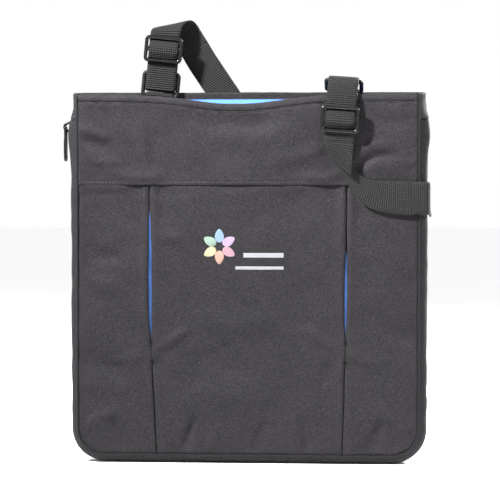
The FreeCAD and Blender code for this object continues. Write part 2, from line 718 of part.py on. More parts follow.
def main():
    nodes = build()
    whole = Part.makeCompound(list(nodes.values())).optimalBoundingBox()
    shift = V(-whole.Center.x, -whole.Center.y, 0)
    os.makedirs("parts", exist_ok=True)
    for name, shape in nodes.items():
        shape.translate(shift)
        shape.exportStep("parts/" + name + ".step")
    print("origin moved by", round(shift.x, 3), round(shift.y, 3), "lowest", round(whole.ZMin, 3))
    print("nodes", len(nodes))


main()
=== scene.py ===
"""Portfolio case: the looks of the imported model.

Every shape is laid out in the case's own millimetres: x = 0 is the middle of the case, y = 0 is the
plane of its zip, z = 0 is the floor, and the front is towards -y.
"""
import bisect
import math
import bpy
from mathutils import Matrix, Vector, noise


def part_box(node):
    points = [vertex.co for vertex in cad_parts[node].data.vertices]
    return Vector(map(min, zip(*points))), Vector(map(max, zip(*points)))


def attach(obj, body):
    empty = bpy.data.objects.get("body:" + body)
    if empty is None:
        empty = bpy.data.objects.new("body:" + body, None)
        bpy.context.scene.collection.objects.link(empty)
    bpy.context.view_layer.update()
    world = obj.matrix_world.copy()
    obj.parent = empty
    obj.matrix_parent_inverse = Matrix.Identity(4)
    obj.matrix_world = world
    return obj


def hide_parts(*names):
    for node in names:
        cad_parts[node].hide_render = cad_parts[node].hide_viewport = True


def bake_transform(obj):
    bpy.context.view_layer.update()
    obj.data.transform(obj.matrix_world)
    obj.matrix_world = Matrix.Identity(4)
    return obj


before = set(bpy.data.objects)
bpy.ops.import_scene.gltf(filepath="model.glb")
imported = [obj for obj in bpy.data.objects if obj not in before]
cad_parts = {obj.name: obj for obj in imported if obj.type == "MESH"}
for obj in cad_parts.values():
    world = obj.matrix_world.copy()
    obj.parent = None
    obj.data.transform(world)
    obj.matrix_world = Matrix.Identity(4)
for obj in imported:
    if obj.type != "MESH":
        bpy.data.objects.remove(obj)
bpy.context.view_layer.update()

LOW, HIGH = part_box("back_panel")
MID_X = 0.5 * (LOW[0] + HIGH[0])
ZIP_Y = 0.5 * (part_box("front_gusset")[1][1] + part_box("back_gusset")[0][1])

HALF = 169.5            # middle of the case to the side seam
SEAM_LOW = 8.5          # bottom seam above the floor
CORNER_R = 26.0         # radius of the bottom corners, and where they begin
CORNER_X = HALF - CORNER_R
CORNER_Z = SEAM_LOW + CORNER_R
ZIP_TOP = 341.0         # the zip ends here, and the gusset caps begin
YOKE_EDGE = 277.0       # lower edge of the yoke
BACK_TOP = 370.0
FRONT_TOP = 367.5
FRONT_SAG = 9.8         # dip of the front's top edge, its middle and its half width
SAG_AT = -11.0
SAG_WIDTH = 62.0
HEM = 8.0
YOKE_Y = -21.7          # depth at which each layer of cloth lies
POCKET_Y = -20.5
UNDERLAY_Y = -17.7
BACK_Y = 19.3
LINING_Y = 15.7
WEB_HALF = 15.0         # the strap: half its width, and its thickness
WEB = 1.6
STITCH = 3.0            # from one stitch to the next, and the length of thread that shows
STITCH_SHOWN = 2.3
SHORT_STITCH = 2.2


def P(x, y, z):
    """A point of the case, in metres in the row frame."""
    return Vector((MID_X + 0.001 * x, ZIP_Y + 0.001 * y, 0.001 * z))


def clamp(value, low=0.0, high=1.0):
    return max(low, min(high, value))


def ease(value):
    value = clamp(value)
    return value * value * (3.0 - 2.0 * value)


def lerp_table(table, at):
    """Straight-line reading of a short list of (place, value)."""
    places = [row[0] for row in table]
    i = clamp(bisect.bisect_left(places, at), 1, len(table) - 1)
    (a, va), (b, vb) = table[i - 1], table[i]
    t = clamp((at - a) / (b - a))
    return va + (vb - va) * t


def ripple(x, z, seed, scale):
    return noise.noise(Vector((x / scale, z / scale, seed * 7.31)))


# ---------------------------------------------------------------- materials
def new_material(name):
    material = bpy.data.materials.new(name)
    material.use_nodes = True
    tree = material.node_tree
    tree.nodes.clear()
    out = tree.nodes.new("ShaderNodeOutputMaterial")
    shader = tree.nodes.new("ShaderNodeBsdfPrincipled")
    tree.links.new(shader.outputs[0], out.inputs[0])
    return material, tree, shader


class Nodes:
    """Short forms for building a node tree."""

    def __init__(self, tree):
        self.tree = tree

    def add(self, kind, **settings):
        node = self.tree.nodes.new(kind)
        for key, value in settings.items():
            setattr(node, key, value)
        return node

    def put(self, socket, value):
        if isinstance(value, bpy.types.NodeSocket):
            self.tree.links.new(value, socket)
        else:
            socket.default_value = value

    def math(self, operation, a, b=None):
        node = self.add("ShaderNodeMath", operation=operation)
        self.put(node.inputs[0], a)
        if b is not None:
            self.put(node.inputs[1], b)
        return node.outputs[0]

    def plus(self, a, b):
        return self.math("ADD", a, b)

    def times(self, a, b):
        return self.math("MULTIPLY", a, b)

    def sine(self, a):
        return self.math("SINE", a)

    def coordinates(self, kind, scale):
        source = self.add("ShaderNodeTexCoord").outputs[kind]
        node = self.add("ShaderNodeMapping")
        self.put(node.inputs["Vector"], source)
        self.put(node.inputs["Scale"], scale)
        return node.outputs[0]

    def split(self, vector):
        node = self.add("ShaderNodeSeparateXYZ")
        self.put(node.inputs[0], vector)
        return node.outputs

    def noise(self, vector, scale, detail=2.0, rough=0.5):
        node = self.add("ShaderNodeTexNoise")
        self.put(node.inputs["Vector"], vector)
        self.put(node.inputs["Scale"], scale)
        self.put(node.inputs["Detail"], detail)
        self.put(node.inputs["Roughness"], rough)
        return node.outputs["Fac"]

    def ramp(self, factor, stops):
        node = self.add("ShaderNodeValToRGB")
        self.put(node.inputs[0], factor)
        elements = node.color_ramp.elements
        while len(elements) < len(stops):
            elements.new(0.5)
        for element, (place, colour) in zip(elements, stops):
            element.position = place
            element.color = (*colour, 1.0)
        return node.outputs[0]

    def grey(self, factor, *stops):
        """A grey ramp from stops of (place, value)."""
        return self.ramp(factor, [(place, (value,) * 3) for place, value in stops])

    def mix(self, factor, a, b, blend="MIX"):
        node = self.add("ShaderNodeMix", data_type="RGBA", blend_type=blend)
        self.put(node.inputs[0], factor)
        self.put(node.inputs[6], a)
        self.put(node.inputs[7], b)
        return node.outputs[2]

    def shade(self, tint, factor, *stops):
        """A tint made lighter or darker by a grey ramp."""
        return self.mix(1.0, tint, self.grey(factor, *stops), "MULTIPLY")

    def bump(self, height, strength, distance, normal=None):
        node = self.add("ShaderNodeBump")
        self.put(node.inputs["Height"], height)
        self.put(node.inputs["Strength"], strength)
        self.put(node.inputs["Distance"], distance)
        if normal is not None:
            self.put(node.inputs["Normal"], normal)
        return node.outputs[0]


def scaled(colour, factor):
    return tuple(channel * factor for channel in colour)


def woven(name, colour, pitch, melange, sheen, roughness, bump=0.6, patch=0.12):
    """Plain weave on metric UVs: threads over and under, each one a little lighter or darker."""
    material, tree, shader = new_material(name)
    n = Nodes(tree)
    uv = n.coordinates("UV", (1.0 / pitch, 1.0 / pitch, 1.0))
    drift = n.noise(uv, 0.12)
    u, v, _ = n.split(uv)
    u = n.plus(u, n.times(drift, 0.7))
    v = n.plus(v, n.times(drift, -0.7))
    weave = n.times(n.sine(n.times(u, math.pi)), n.sine(n.times(v, math.pi)))
    tones = []
    for across, along in ((0, 1), (1, 0)):
        thread = n.add("ShaderNodeCombineXYZ")
        n.put(thread.inputs[across], n.math("FLOOR", (u, v)[across]))
        n.put(thread.inputs[along], n.times((u, v)[along], 0.16))
        tones.append(n.noise(thread.outputs[0], 1.9, 3.0, 0.7))
    tone = n.mix(n.math("GREATER_THAN", weave, 0.0), *tones)
    tint = n.ramp(tone, [(0.30, scaled(colour, 1.0 - melange)), (0.5, colour),
                         (0.70, scaled(colour, 1.0 + 1.3 * melange))])
    fleck = n.noise(uv, 0.85, 2.0, 0.6)
    tint = n.shade(tint, fleck, (0.30, 1.0 - 0.6 * melange), (0.70, 1.0 + 0.8 * melange))
    cloud = n.noise(uv, 0.035, 3.0, 0.6)
    tint = n.shade(tint, cloud, (0.25, 1.0 - patch), (0.75, 1.0 + patch))
    relief = n.math("ABSOLUTE", weave)
    # painted shade: the tint is darkened where the weave is low, in the hollows between the threads
    tint = n.shade(tint, relief, (0.0, 0.62), (0.30, 1.0))
    n.put(shader.inputs["Base Color"], tint)
    n.put(shader.inputs["Roughness"], n.grey(tone, (0.3, roughness - 0.08), (0.7, roughness + 0.08)))
    shader.inputs["Sheen Weight"].default_value = sheen
    shader.inputs["Sheen Roughness"].default_value = 0.45
    shader.inputs["Specular IOR Level"].default_value = 0.12
    fine = n.bump(n.plus(relief, n.times(tone, 0.5)), bump, 0.35 * pitch)
    n.put(shader.inputs["Normal"], n.bump(cloud, 0.15, 0.0012, fine))
    return material


def ribbed(name, colour):
    """Webbing: ribs across the width, each made of short diagonal floats."""
    material, tree, shader = new_material(name)
    n = Nodes(tree)
    rib_pitch, strand_pitch = 0.0021, 0.0022
    uv = n.coordinates("UV", (1.0, 1.0, 1.0))
    u, v, _ = n.split(uv)
    strands = n.sine(n.times(u, 2.0 * math.pi / strand_pitch))
    ribs = n.sine(n.plus(n.times(v, 2.0 * math.pi / rib_pitch), n.times(strands, 0.55)))
    height = n.plus(n.times(ribs, 0.5), n.times(strands, 0.16))
    grain = n.noise(n.coordinates("UV", (2600.0, 420.0, 1.0)), 1.0, 3.0, 0.6)
    # painted shade and highlight: the tint is darkened in the valleys between ribs and lightened on the rib
    # tops
    tint = n.ramp(n.plus(height, 0.5),
                  [(0.1, scaled(colour, 0.35)), (0.5, colour), (1.0, scaled(colour, 1.9))])
    tint = n.shade(tint, grain, (0.3, 0.78), (0.7, 1.25))
    tint = n.shade(tint, n.noise(uv, 45.0, 3.0, 0.55), (0.3, 0.9), (0.75, 1.12))
    n.put(shader.inputs["Base Color"], tint)
    n.put(shader.inputs["Roughness"], n.grey(grain, (0.3, 0.55), (0.8, 0.78)))
    shader.inputs["Sheen Weight"].default_value = 0.01
    shader.inputs["Specular IOR Level"].default_value = 0.16
    n.put(shader.inputs["Normal"], n.bump(n.plus(height, n.times(grain, 0.4)), 0.9, 0.0009))
    return material


def moulded(name, colour, roughness, gloss=0.22, metallic=0.0):
    """Moulded plastic or painted metal: faint orange peel, smudges and fine wear."""
    material, tree, shader = new_material(name)
    n = Nodes(tree)
    place = n.coordinates("Object", (1.0, 1.0, 1.0))
    peel = n.noise(place, 900.0)
    smudge = n.noise(place, 140.0, 4.0, 0.6)
    scratch = n.noise(n.coordinates("Object", (300.0, 300.0, 3200.0)), 1.0)
    tint = n.ramp(smudge, [(0.3, scaled(colour, 0.85)), (0.7, scaled(colour, 1.25))])
    n.put(shader.inputs["Base Color"], tint)
    rough = n.plus(n.times(smudge, 0.16), roughness - 0.08)
    n.put(shader.inputs["Roughness"], n.plus(rough, n.times(scratch, 0.05)))
    shader.inputs["Metallic"].default_value = metallic
    shader.inputs["Specular IOR Level"].default_value = gloss
    n.put(shader.inputs["Normal"], n.bump(peel, 0.12, 0.0003, n.bump(smudge, 0.06, 0.0008)))
    return material


def satin(name, colour):
    """Embroidery or sewing thread: fine strands along v."""
    material, tree, shader = new_material(name)
    n = Nodes(tree)
    strand_pitch = 0.0009
    uv = n.coordinates("UV", (1.0, 1.0, 1.0))
    _, v, _ = n.split(uv)
    strand = n.sine(n.plus(n.times(v, 2.0 * math.pi / strand_pitch), n.times(n.noise(uv, 900.0), 2.5)))
    # painted shade and highlight: the tint is darkened in the grooves between strands and a little lighter on
    # their crests
    tint = n.ramp(strand, [(0.1, scaled(colour, 0.62)), (0.6, colour), (0.95, scaled(colour, 1.15))])
    n.put(shader.inputs["Base Color"], tint)
    n.put(shader.inputs["Roughness"], n.plus(n.times(n.noise(uv, 500.0), 0.2), 0.35))
    shader.inputs["Sheen Weight"].default_value = 0.12
    n.put(shader.inputs["Normal"], n.bump(strand, 0.7, 0.0004))
    return material


SHELL = woven("shell_fabric", (0.0083, 0.0073, 0.0086), 0.00105, 0.95, 0.015, 0.74, 0.35, 0.12)
# painted shade: a slightly darker copy of the shell fabric, for the gussets and caps at the sides
SHADED_GUSSET = woven("shaded_gusset_fabric", (0.0080, 0.0072, 0.0086), 0.00105, 0.95, 0.015, 0.74, 0.35, 0.12)
TRIM = woven("trim_fabric", (0.0062, 0.0059, 0.0066), 0.00080, 0.5, 0.01, 0.76)
LINING = woven("lining_fabric", (0.070, 0.175, 0.50), 0.00045, 0.12, 0.08, 0.50, 0.3, 0.06)
TAPE = woven("zipper_tape", (0.0080, 0.0077, 0.0083), 0.00065, 0.3, 0.03, 0.75)
WEBBING = ribbed("webbing", (0.0033, 0.0035, 0.0031))
PLASTIC = moulded("black_plastic", (0.0024, 0.0024, 0.0026), 0.17, 0.36)
RING = moulded("ring_plastic", (0.0085, 0.0085, 0.0088), 0.42, 0.05)
METAL = moulded("zip_metal", (0.0040, 0.0040, 0.0044), 0.30, 0.25, 0.25)
COIL = moulded("zipper_coil", (0.0070, 0.0070, 0.0077), 0.40)
THREAD = satin("sewing_thread", (0.0040, 0.0039, 0.0043))


# ---------------------------------------------------------------- mesh helpers
def linked(name, data):
    obj = bpy.data.objects.new(name, data)
    bpy.context.scene.collection.objects.link(obj)
    return obj


def mesh_object(name, verts, faces, uvs, material):
    mesh = bpy.data.meshes.new(name)
    mesh.from_pydata([tuple(v) for v in verts], [], faces)
    layer = mesh.uv_layers.new(name="UVMap")
    for loop in mesh.loops:
        layer.data[loop.index].uv = uvs[loop.vertex_index]
    for polygon in mesh.polygons:
        polygon.use_smooth = True
    mesh.materials.append(material)
    mesh.update()
    obj = linked(name, mesh)
    return obj


def face_outward(obj):
    bpy.context.view_layer.objects.active = obj
    bpy.ops.object.mode_set(mode="EDIT")
    bpy.ops.mesh.select_all(action="SELECT")
    bpy.ops.mesh.normals_make_consistent(inside=False)
    bpy.ops.object.mode_set(mode="OBJECT")


def grid_faces(columns, rows, flip=False):
    faces = []
    for r in range(rows - 1):
        for c in range(columns - 1):
            a = r * columns + c
            face = (a, a + 1, a + columns + 1, a + columns)
            faces.append(face[::-1] if flip else face)
    return faces


def distances(points):
    """Distance run at each point of a row."""
    runs = [0.0]
    for a, b in zip(points, points[1:]):
        runs.append(runs[-1] + math.dist(a, b))
    return runs


def sheet(name, columns, material, flip=False):
    """A sheet from columns of equal length, each a list of (x, y, z) in mm.  UVs are the metric
    distances along the first axis and down each column."""
    rows = len(columns[0])
    columns = [[P(*point) for point in column] for column in columns]
    across = distances([column[rows // 2] for column in columns])
    down = [distances(column) for column in columns]
    verts = [column[r] for r in range(rows) for column in columns]
    uvs = [(across[c], -down[c][r]) for r in range(rows) for c in range(len(columns))]
    return mesh_object(name, verts, grid_faces(len(columns), rows, flip), uvs, material)


def spaced(low, high, step, extra=()):
    """Even places between two ends, with extra ones added."""
    count = max(1, round((high - low) / step))
    places = [low + (high - low) * i / count for i in range(count + 1)]
    places += [place for place in extra if low < place < high]
    places = sorted(places)
    kept = [places[0]]
    for place in places[1:]:
        if place - kept[-1] > 0.05:
            kept.append(place)
    return kept


def skin(rings, sides, start=0, closed=False):
    """Faces round a row of rings of points, capped at both ends unless the row is closed."""
    faces = []
    for i in range(rings if closed else rings - 1):
        a, b = start + i * sides, start + (i + 1) % rings * sides
        for k in range(sides):
            m = (k + 1) % sides
            faces.append((a + k, a + m, b + m, b + k))
    if not closed:
        faces.append(tuple(range(start, start + sides))[::-1])
        faces.append(tuple(range(start + (rings - 1) * sides, start + rings * sides)))
    return faces


def tube(name, path, radius, material, sides=10, squash=1.0, closed=False, wobble=0.0):
    """A round cord along points in metres, with parallel-carried rings."""
    verts, uvs = [], []
    count = len(path)
    normal = None
    run = 0.0
    for i, point in enumerate(path):
        before = path[(i - 1) % count] if closed or i else path[0]
        after = path[(i + 1) % count] if closed or i < count - 1 else path[-1]
        tangent = (after - before).normalized()
        if normal is None:
            normal = tangent.orthogonal().normalized()
        normal = (normal - tangent * normal.dot(tangent)).normalized()
        other = tangent.cross(normal)
        if i:
            run += (point - path[i - 1]).length
        swell = 1.0 + wobble * noise.noise(Vector((run * 160.0, 0.0, 0.0)))
        for k in range(sides):
            angle = 2.0 * math.pi * k / sides
            offset = normal * math.cos(angle) + other * (math.sin(angle) * squash)
            verts.append(point + offset * (0.001 * radius * swell))
            uvs.append((0.001 * radius * angle, run))
    return mesh_object(name, verts, skin(count, sides, closed=closed), uvs, material)


def join(name, objects):
    """One object from several that share a material."""
    bpy.ops.object.select_all(action="DESELECT")
    for obj in objects:
        obj.select_set(True)
    bpy.context.view_layer.objects.active = objects[0]
    bpy.ops.object.join()
    objects[0].name = name
    objects[0].data.name = name
    return objects[0]


def rim(top, step):
    """Down the left seam, round the bottom and up the right one: (x, z, outward x, outward z, run)."""
    corner = [(math.cos(a), math.sin(a)) for a in (math.radians(90.0 * k / 12) for k in range(1, 12))]
    points = [(-HALF, z, -1.0, 0.0) for z in spaced(CORNER_Z, top, step)[::-1]]
    points += [(-CORNER_X - CORNER_R * c, CORNER_Z - CORNER_R * s, -c, -s) for c, s in corner]
    points += [(x, SEAM_LOW, 0.0, -1.0) for x in spaced(-CORNER_X, CORNER_X, step)]
    points += [(CORNER_X + CORNER_R * s, CORNER_Z - CORNER_R * c, s, -c) for c, s in corner]
    points += [(HALF, z, 1.0, 0.0) for z in spaced(CORNER_Z, top, step)]
    return [(*point, run) for point, run in zip(points, distances([point[:2] for point in points]))]


def along_path(path, runs, distance):
    """The point at a distance along a path, and the path's direction there."""
    i = clamp(bisect.bisect_left(runs, distance), 1, len(runs) - 1)
    t = (distance - runs[i - 1]) / max(runs[i] - runs[i - 1], 1e-9)
    return path[i - 1].lerp(path[i], t), (path[i] - path[i - 1]).normalized()


def stitches(name, path, outward, pitch, length, body, radius=0.32):
    """A row of sewn stitches: each one a short thread that dips into the cloth at both ends."""
    steps, sides = 4, 6
    verts, faces, uvs = [], [], []
    runs = distances(path)
    for k in range(int(runs[-1] / (0.001 * pitch))):
        faces += skin(steps + 1, sides, len(verts))
        for step in range(steps + 1):
            t = step / steps
            middle = (k + 0.5) * 0.001 * pitch
            point, along = along_path(path, runs, middle + 0.001 * length * (t - 0.5))
            out = outward(point)
            side = along.cross(out).normalized()
            bow = math.sin(math.pi * t)
            lift = 0.001 * radius * (1.5 * bow - 0.7)
            thin = 0.001 * radius * (0.6 + 0.4 * bow)
            for corner in range(sides):
                a = 2.0 * math.pi * corner / sides
                verts.append(point + out * (lift + thin * math.sin(a)) + side * (thin * math.cos(a)))
                uvs.append((0.0003 * corner, 0.001 * length * t))
    obj = mesh_object(name, verts, faces, uvs, THREAD)
    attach(obj, body)
    return obj


# ---------------------------------------------------------------- cloth relief
def crease(x, z, line, width, depth, ends=0.3):
    """A soft ridge (positive) or valley along a line of (x, z) points, fading at its ends."""
    best, place = 1e9, 0.0
    lengths = [math.dist(a, b) for a, b in zip(line, line[1:])]
    total = sum(lengths)
    run = 0.0
    for (ax, az), (bx, bz), length in zip(line, line[1:], lengths):
        t = clamp(((x - ax) * (bx - ax) + (z - az) * (bz - az)) / (length * length))
        distance = math.hypot(x - ax - (bx - ax) * t, z - az - (bz - az) * t)
        if distance < best:
            best, place = distance, (run + t * length) / total
        run += length
    if best > 3.0 * width:
        return 0.0
    fade = ease(min(place, 1.0 - place) / ends)
    return depth * fade * math.exp(-(best / width) ** 2)


FRONT_FOLDS = [
    # yoke
    ([(94, 290), (104, 304), (122, 316), (150, 318)], 3.6, 2.6),
    ([(100, 284), (112, 298), (128, 306), (154, 308)], 3.6, -1.9),
    ([(112, 290), (130, 296), (150, 292)], 4.5, 1.0),
    ([(-177, 336), (-158, 331), (-132, 321)], 4.5, 2.0),
    ([(-177, 326), (-158, 320), (-136, 312)], 4.5, -1.6),
    ([(-172, 312), (-150, 300), (-118, 300)], 6.0, 1.3),
    ([(178, 308), (165, 300), (146, 300)], 3.5, 1.7),
    ([(-70, 352), (-20, 340), (40, 338)], 10.0, -1.6),
    ([(-40, 330), (0, 322), (60, 330)], 10.0, 1.2),
    ([(-112, 348), (-104, 330), (-103, 296)], 6.0, 1.2),
    ([(10, 300), (50, 306), (88, 318)], 8.0, 1.3),
    ([(-150, 292), (-110, 285), (-76, 287)], 4.5, 1.2),
    ([(50, 286), (76, 284), (100, 290)], 4.5, 1.2),
    ([(120, 345), (145, 338), (168, 342)], 6.0, -1.0),
    # pockets
    ([(120, 178), (144, 152), (174, 126)], 6.0, 1.8),
    ([(112, 160), (138, 135), (168, 112)], 6.0, -1.4),
    ([(130, 112), (150, 92), (172, 78)], 7.0, 1.2),
    ([(-173, 224), (-152, 206), (-118, 204)], 7.0, -1.3),
    ([(-173, 194), (-150, 178), (-120, 172)], 7.0, 1.4),
    ([(-172, 112), (-150, 98), (-116, 94)], 8.0, -1.3),
    ([(-168, 84), (-140, 72), (-112, 74)], 8.0, 1.1),
    ([(-72, 152), (-20, 137), (44, 142)], 12.0, 1.3),
    ([(-60, 110), (0, 96), (60, 104)], 12.0, -1.2),
    ([(-82, 58), (-40, 70), (24, 60)], 9.0, 1.1),
    ([(-64, 9), (-60, 24), (-50, 50)], 4.0, -1.8),
    ([(8, 9), (11, 22), (20, 44)], 4.0, -1.8),
    ([(58, 9), (60, 24), (52, 48)], 4.0, -1.6),
    ([(-36, 9), (-34, 20), (-38, 34)], 4.0, 1.2),
    ([(-122, 10), (-126, 26), (-138, 48)], 4.5, -1.5),
    ([(122, 10), (126, 24), (136, 46)], 4.5, -1.5),
    ([(-166, 28), (-150, 44), (-124, 54)], 5.0, 1.6),
    ([(166, 28), (148, 44), (120, 52)], 5.0, 1.6),
    ([(-97, 234), (-84, 224), (-56, 226)], 5.5, 1.0),
    ([(99, 218), (112, 207), (138, 208)], 5.5, 1.0),
    ([(-97, 112), (-80, 119), (-56, 136)], 4.5, 1.4),
    ([(95, 112), (76, 120), (54, 138)], 4.5, 1.4),
    ([(-99, 112), (-120, 104), (-140, 98)], 4.5, 1.3),
    ([(97, 112), (116, 104), (136, 96)], 4.5, 1.3),
    ([(-97, 106), (-84, 94), (-72, 74)], 4.5, -0.9),
    ([(95, 106), (82, 94), (70, 74)], 4.5, -0.9),
]


def seam_distance(x, z):
    """How far a point of the front or back lies inside the side and bottom seams."""
    if abs(x) > CORNER_X and z < CORNER_Z:
        return CORNER_R - math.hypot(abs(x) - CORNER_X, z - CORNER_Z)
    return min(HALF - abs(x), z - SEAM_LOW)


def bell(at, middle, width):
    """A smooth hump of height 1."""
    return math.exp(-((at - middle) / width) ** 2)


def front_relief(x, z):
    """Outward lift of the front cloth, the same for yoke and pockets."""
    lift = 2.8 * ripple(x, z, 1, 85.0) + 1.3 * ripple(x, z, 2, 31.0) + 0.28 * ripple(x, z, 3, 12.0)
    lift += 1.65 * sum(crease(x, z, *fold) for fold in FRONT_FOLDS)
    lift *= 0.25 + 0.75 * ease(seam_distance(x, z) / 12.0)
    # puckers along the bottom and side seams
    lift += bell(z, SEAM_LOW, 13.0) * 0.45 * math.sin(x / 5.1 + 2.0 * ripple(x, 0, 5, 40.0))
    lift += bell(abs(x), HALF, 9.0) * 0.35 * math.sin(z / 6.3 + 2.5 * ripple(0, z, 6, 40.0))
    # behind the fallen strap end and the run of strap below it the cloth stays flatter
    calm = ease(1.0 - max(abs(x - 96.0) - 18.0, 0.0) / 12.0) * ease((z - 290.0) / 10.0)
    under_strap = ease((x - 80.0) / 14.0) * ease((z - 232.0) / 12.0) * ease((316.0 - z) / 12.0)
    highest = 2.6 - 1.1 * under_strap - 1.6 * calm * (1.0 - under_strap)
    # a smooth ceiling, so that no fold is cut off flat
    if lift > 0.5 * highest:
        lift = highest - 0.5 * highest * math.exp(-(lift - 0.5 * highest) / (0.5 * highest))
    return max(lift, -2.8)


def seam_roll(distance, depth, reach=3.2):
    """How far the cloth drops towards the seam near its edge."""
    t = clamp(1.0 - distance / reach)
    return depth * (1.0 - math.sqrt(max(0.0, 1.0 - t * t)))


def front_top(x):
    return FRONT_TOP - FRONT_SAG * bell(x, SAG_AT, SAG_WIDTH)


def floor_of(x):
    """Height of the bottom seam under x, round the corners."""
    over = max(abs(x) - CORNER_X, 0.0)
    return CORNER_Z - math.sqrt(max(0.0, CORNER_R ** 2 - over ** 2))


CORNER_XS = [CORNER_X + CORNER_R * math.sin(math.radians(a)) for a in (15, 30, 42, 53, 62, 70, 77, 83, 87)]
CORNER_XS = [-x for x in CORNER_XS[::-1]] + CORNER_XS
SEAM_XS = [side * (HALF - d) for side in (-1, 1) for d in (0.5, 1.3)]


# ---------------------------------------------------------------- front wall
def hem_profile(top, face, inner, radius):
    """(y, z) from inside the mouth and over the rolled edge to the wall's face."""
    sign = math.copysign(1.0, face)
    centre = 0.5 * (face + inner)
    points = [(inner, top - HEM), (inner, top - 0.6 * HEM), (inner, top - radius - 0.4)]
    for k in range(9):
        a = math.pi * k / 8
        points.append((centre - sign * radius * math.cos(a), top - radius + radius * math.sin(a)))
    return points


def gape(x):
    """Where the yoke's edge stands a little off the pockets."""
    return bell(x, -102.0, 30.0) + bell(x, 78.0, 26.0)


def yoke_shell():
    columns = []
    radius = 0.5 * (abs(YOKE_Y) - LINING_Y)
    for x in spaced(-HALF, HALF, 2.0, [side * (HALF - d) for side in (-1, 1) for d in (0.5, 1.2, 2.4)]):
        top = front_top(x) + 0.35 * ripple(x, 0, 9, 26.0) + 0.2 * ripple(x, 0, 10, 9.0)
        hem = top - HEM
        edge = seam_roll(HALF - abs(x), 1.6)
        column = [(x, y if y > -18 else y + edge, z) for y, z in hem_profile(top, YOKE_Y, -LINING_Y, radius)]
        band = [top - radius - 0.8 - 0.7 * i for i in range(11)]
        below_band = band[-1] - YOKE_EDGE - 1.2
        for z in band + [band[-1] - below_band * i / 38.0 for i in range(1, 39)]:
            groove = 0.75 * bell(z, hem, 1.1)
            pucker = 0.28 * bell(z, hem, 5.0) * math.sin(x / 2.6 + 3 * ripple(x, 0, 11, 20.0))
            plump = 0.35 * ease((z - hem) / 2.0) * (1 - ease((z - top + 5) / 4))
            seam = 0.3 * bell(z, YOKE_EDGE + 3.0, 0.9)
            lift = front_relief(x, z) * ease((top - z) / 20.0) * 0.8 - groove - seam + pucker + plump
            lift += 0.9 * gape(x) * ease((YOKE_EDGE + 12.0 - z) / 12.0)
            column.append((x, YOKE_Y - lift + edge, z))
        lift = front_relief(x, YOKE_EDGE) * 0.8 + 0.9 * gape(x)
        sway = 0.35 * ripple(x, 0, 12, 45.0)
        for y, z in ((0.10, 0.55), (0.45, 0.12), (0.95, 0.0), (1.35, 0.35), (1.5, 1.2), (1.5, 6.0)):
            column.append((x, YOKE_Y - lift + y + edge * 0.5, YOKE_EDGE + z + sway))
        columns.append(column)
    return sheet("yoke_shell", columns, SHELL, flip=True)


# where each slit runs and how far it stands open, by height: -1 is the left one
SLIT_LINES = {-1: ((10, -90.6), (122, -96.7), (277, -98.2)), 1: ((10, 94.6), (122, 97.6), (277, 98.8))}
SLIT_GAPS = {-1: ((8, 0.3), (40, 0.8), (82, 1.0), (99, 0.25), (123, 0.2), (136, 2.0), (160, 3.0), (190, 3.0),
                  (225, 2.1), (256, 1.0), (278, 0.6)),
             1: ((8, 0.3), (40, 0.7), (82, 0.9), (99, 0.25), (127, 0.2), (140, 1.6), (165, 2.4), (185, 2.2),
                 (213, 1.3), (240, 0.8), (278, 0.6))}
TACKS = (101.0, 121.0)      # the stretch where each slit is sewn shut


def slit_middle(side, z):
    return lerp_table(SLIT_LINES[side], z) + 0.35 * ripple(z, side, 14, 34.0)


def slit_gap(side, z):
    return lerp_table(SLIT_GAPS[side], z)


def pocket(kind):
    """One pocket panel.  Columns run from the yoke down to the bottom seam; each slit edge is
    turned in and its fold is rounded."""
    top = YOKE_EDGE + 4.0
    a, b = {"left": (-HALF, -98.0), "centre": (-98.0, 94.0), "right": (94.0, HALF)}[kind]
    slits = {"left": (b,), "centre": (a, b), "right": (a,)}[kind]
    turned = [a + d if place == a else b - d for place in slits for d in (0.25, 0.6, 1.1, 1.8)]

    def edge_x(side, z):
        inward = 0.5 if (side < 0) == (kind == "centre") else -0.5
        return slit_middle(side, z) + inward * slit_gap(side, z)

    def warp(x, z):
        """Carries the straight grid onto the drifting slit edges."""
        t = (x - a) / (b - a)
        if kind == "left":
            return x + (edge_x(-1, z) - b) * ease(t)
        if kind == "right":
            return x + (edge_x(1, z) - a) * ease(1.0 - t)
        return x + (edge_x(-1, z) - a) * ease(1.0 - t * 2.0) + (edge_x(1, z) - b) * ease(t * 2.0 - 1.0)

    columns = []
    for x in spaced(a, b, 2.0, CORNER_XS + SEAM_XS + turned):
        low = floor_of(x)
        column = []
        for i in range(133):
            z = top + (low - top) * (i / 132.0)
            wx = warp(x, z)
            lift = front_relief(wx, z) * ease((YOKE_EDGE - 1.0 - z) / 10.0)
            y = POCKET_Y - lift + seam_roll(max(seam_distance(wx, z), 0.0), 1.2)
            y += 0.7 * gape(wx) * ease((z - YOKE_EDGE + 12.0) / 9.0)
            y += 0.35 * ease((z - YOKE_EDGE + 2.0) / 4.0)
            for place in slits:
                e = abs(x - place)
                y += seam_roll(e, 1.4, 2.5) + 0.30 * bell(e, 5.0, 0.8)
                y -= 0.9 * bell(e, 4.2, 3.4) * (0.35 + 0.65 * ease((z - 124) / 30.0))
                y += bell(e, 13.0, 9.0) * ease((z - 200.0) / 60.0)
            column.append((wx, min(y, UNDERLAY_Y - 0.8), z))
        columns.append(column)
    if a in slits:
        columns.insert(0, [(x + 1.2, y + 1.0, z) for x, y, z in columns[0]])
    if b in slits:
        columns.append([(x - 1.2, y + 1.0, z) for x, y, z in columns[-1]])
    return sheet("pocket_" + kind, columns, SHELL, flip=True)


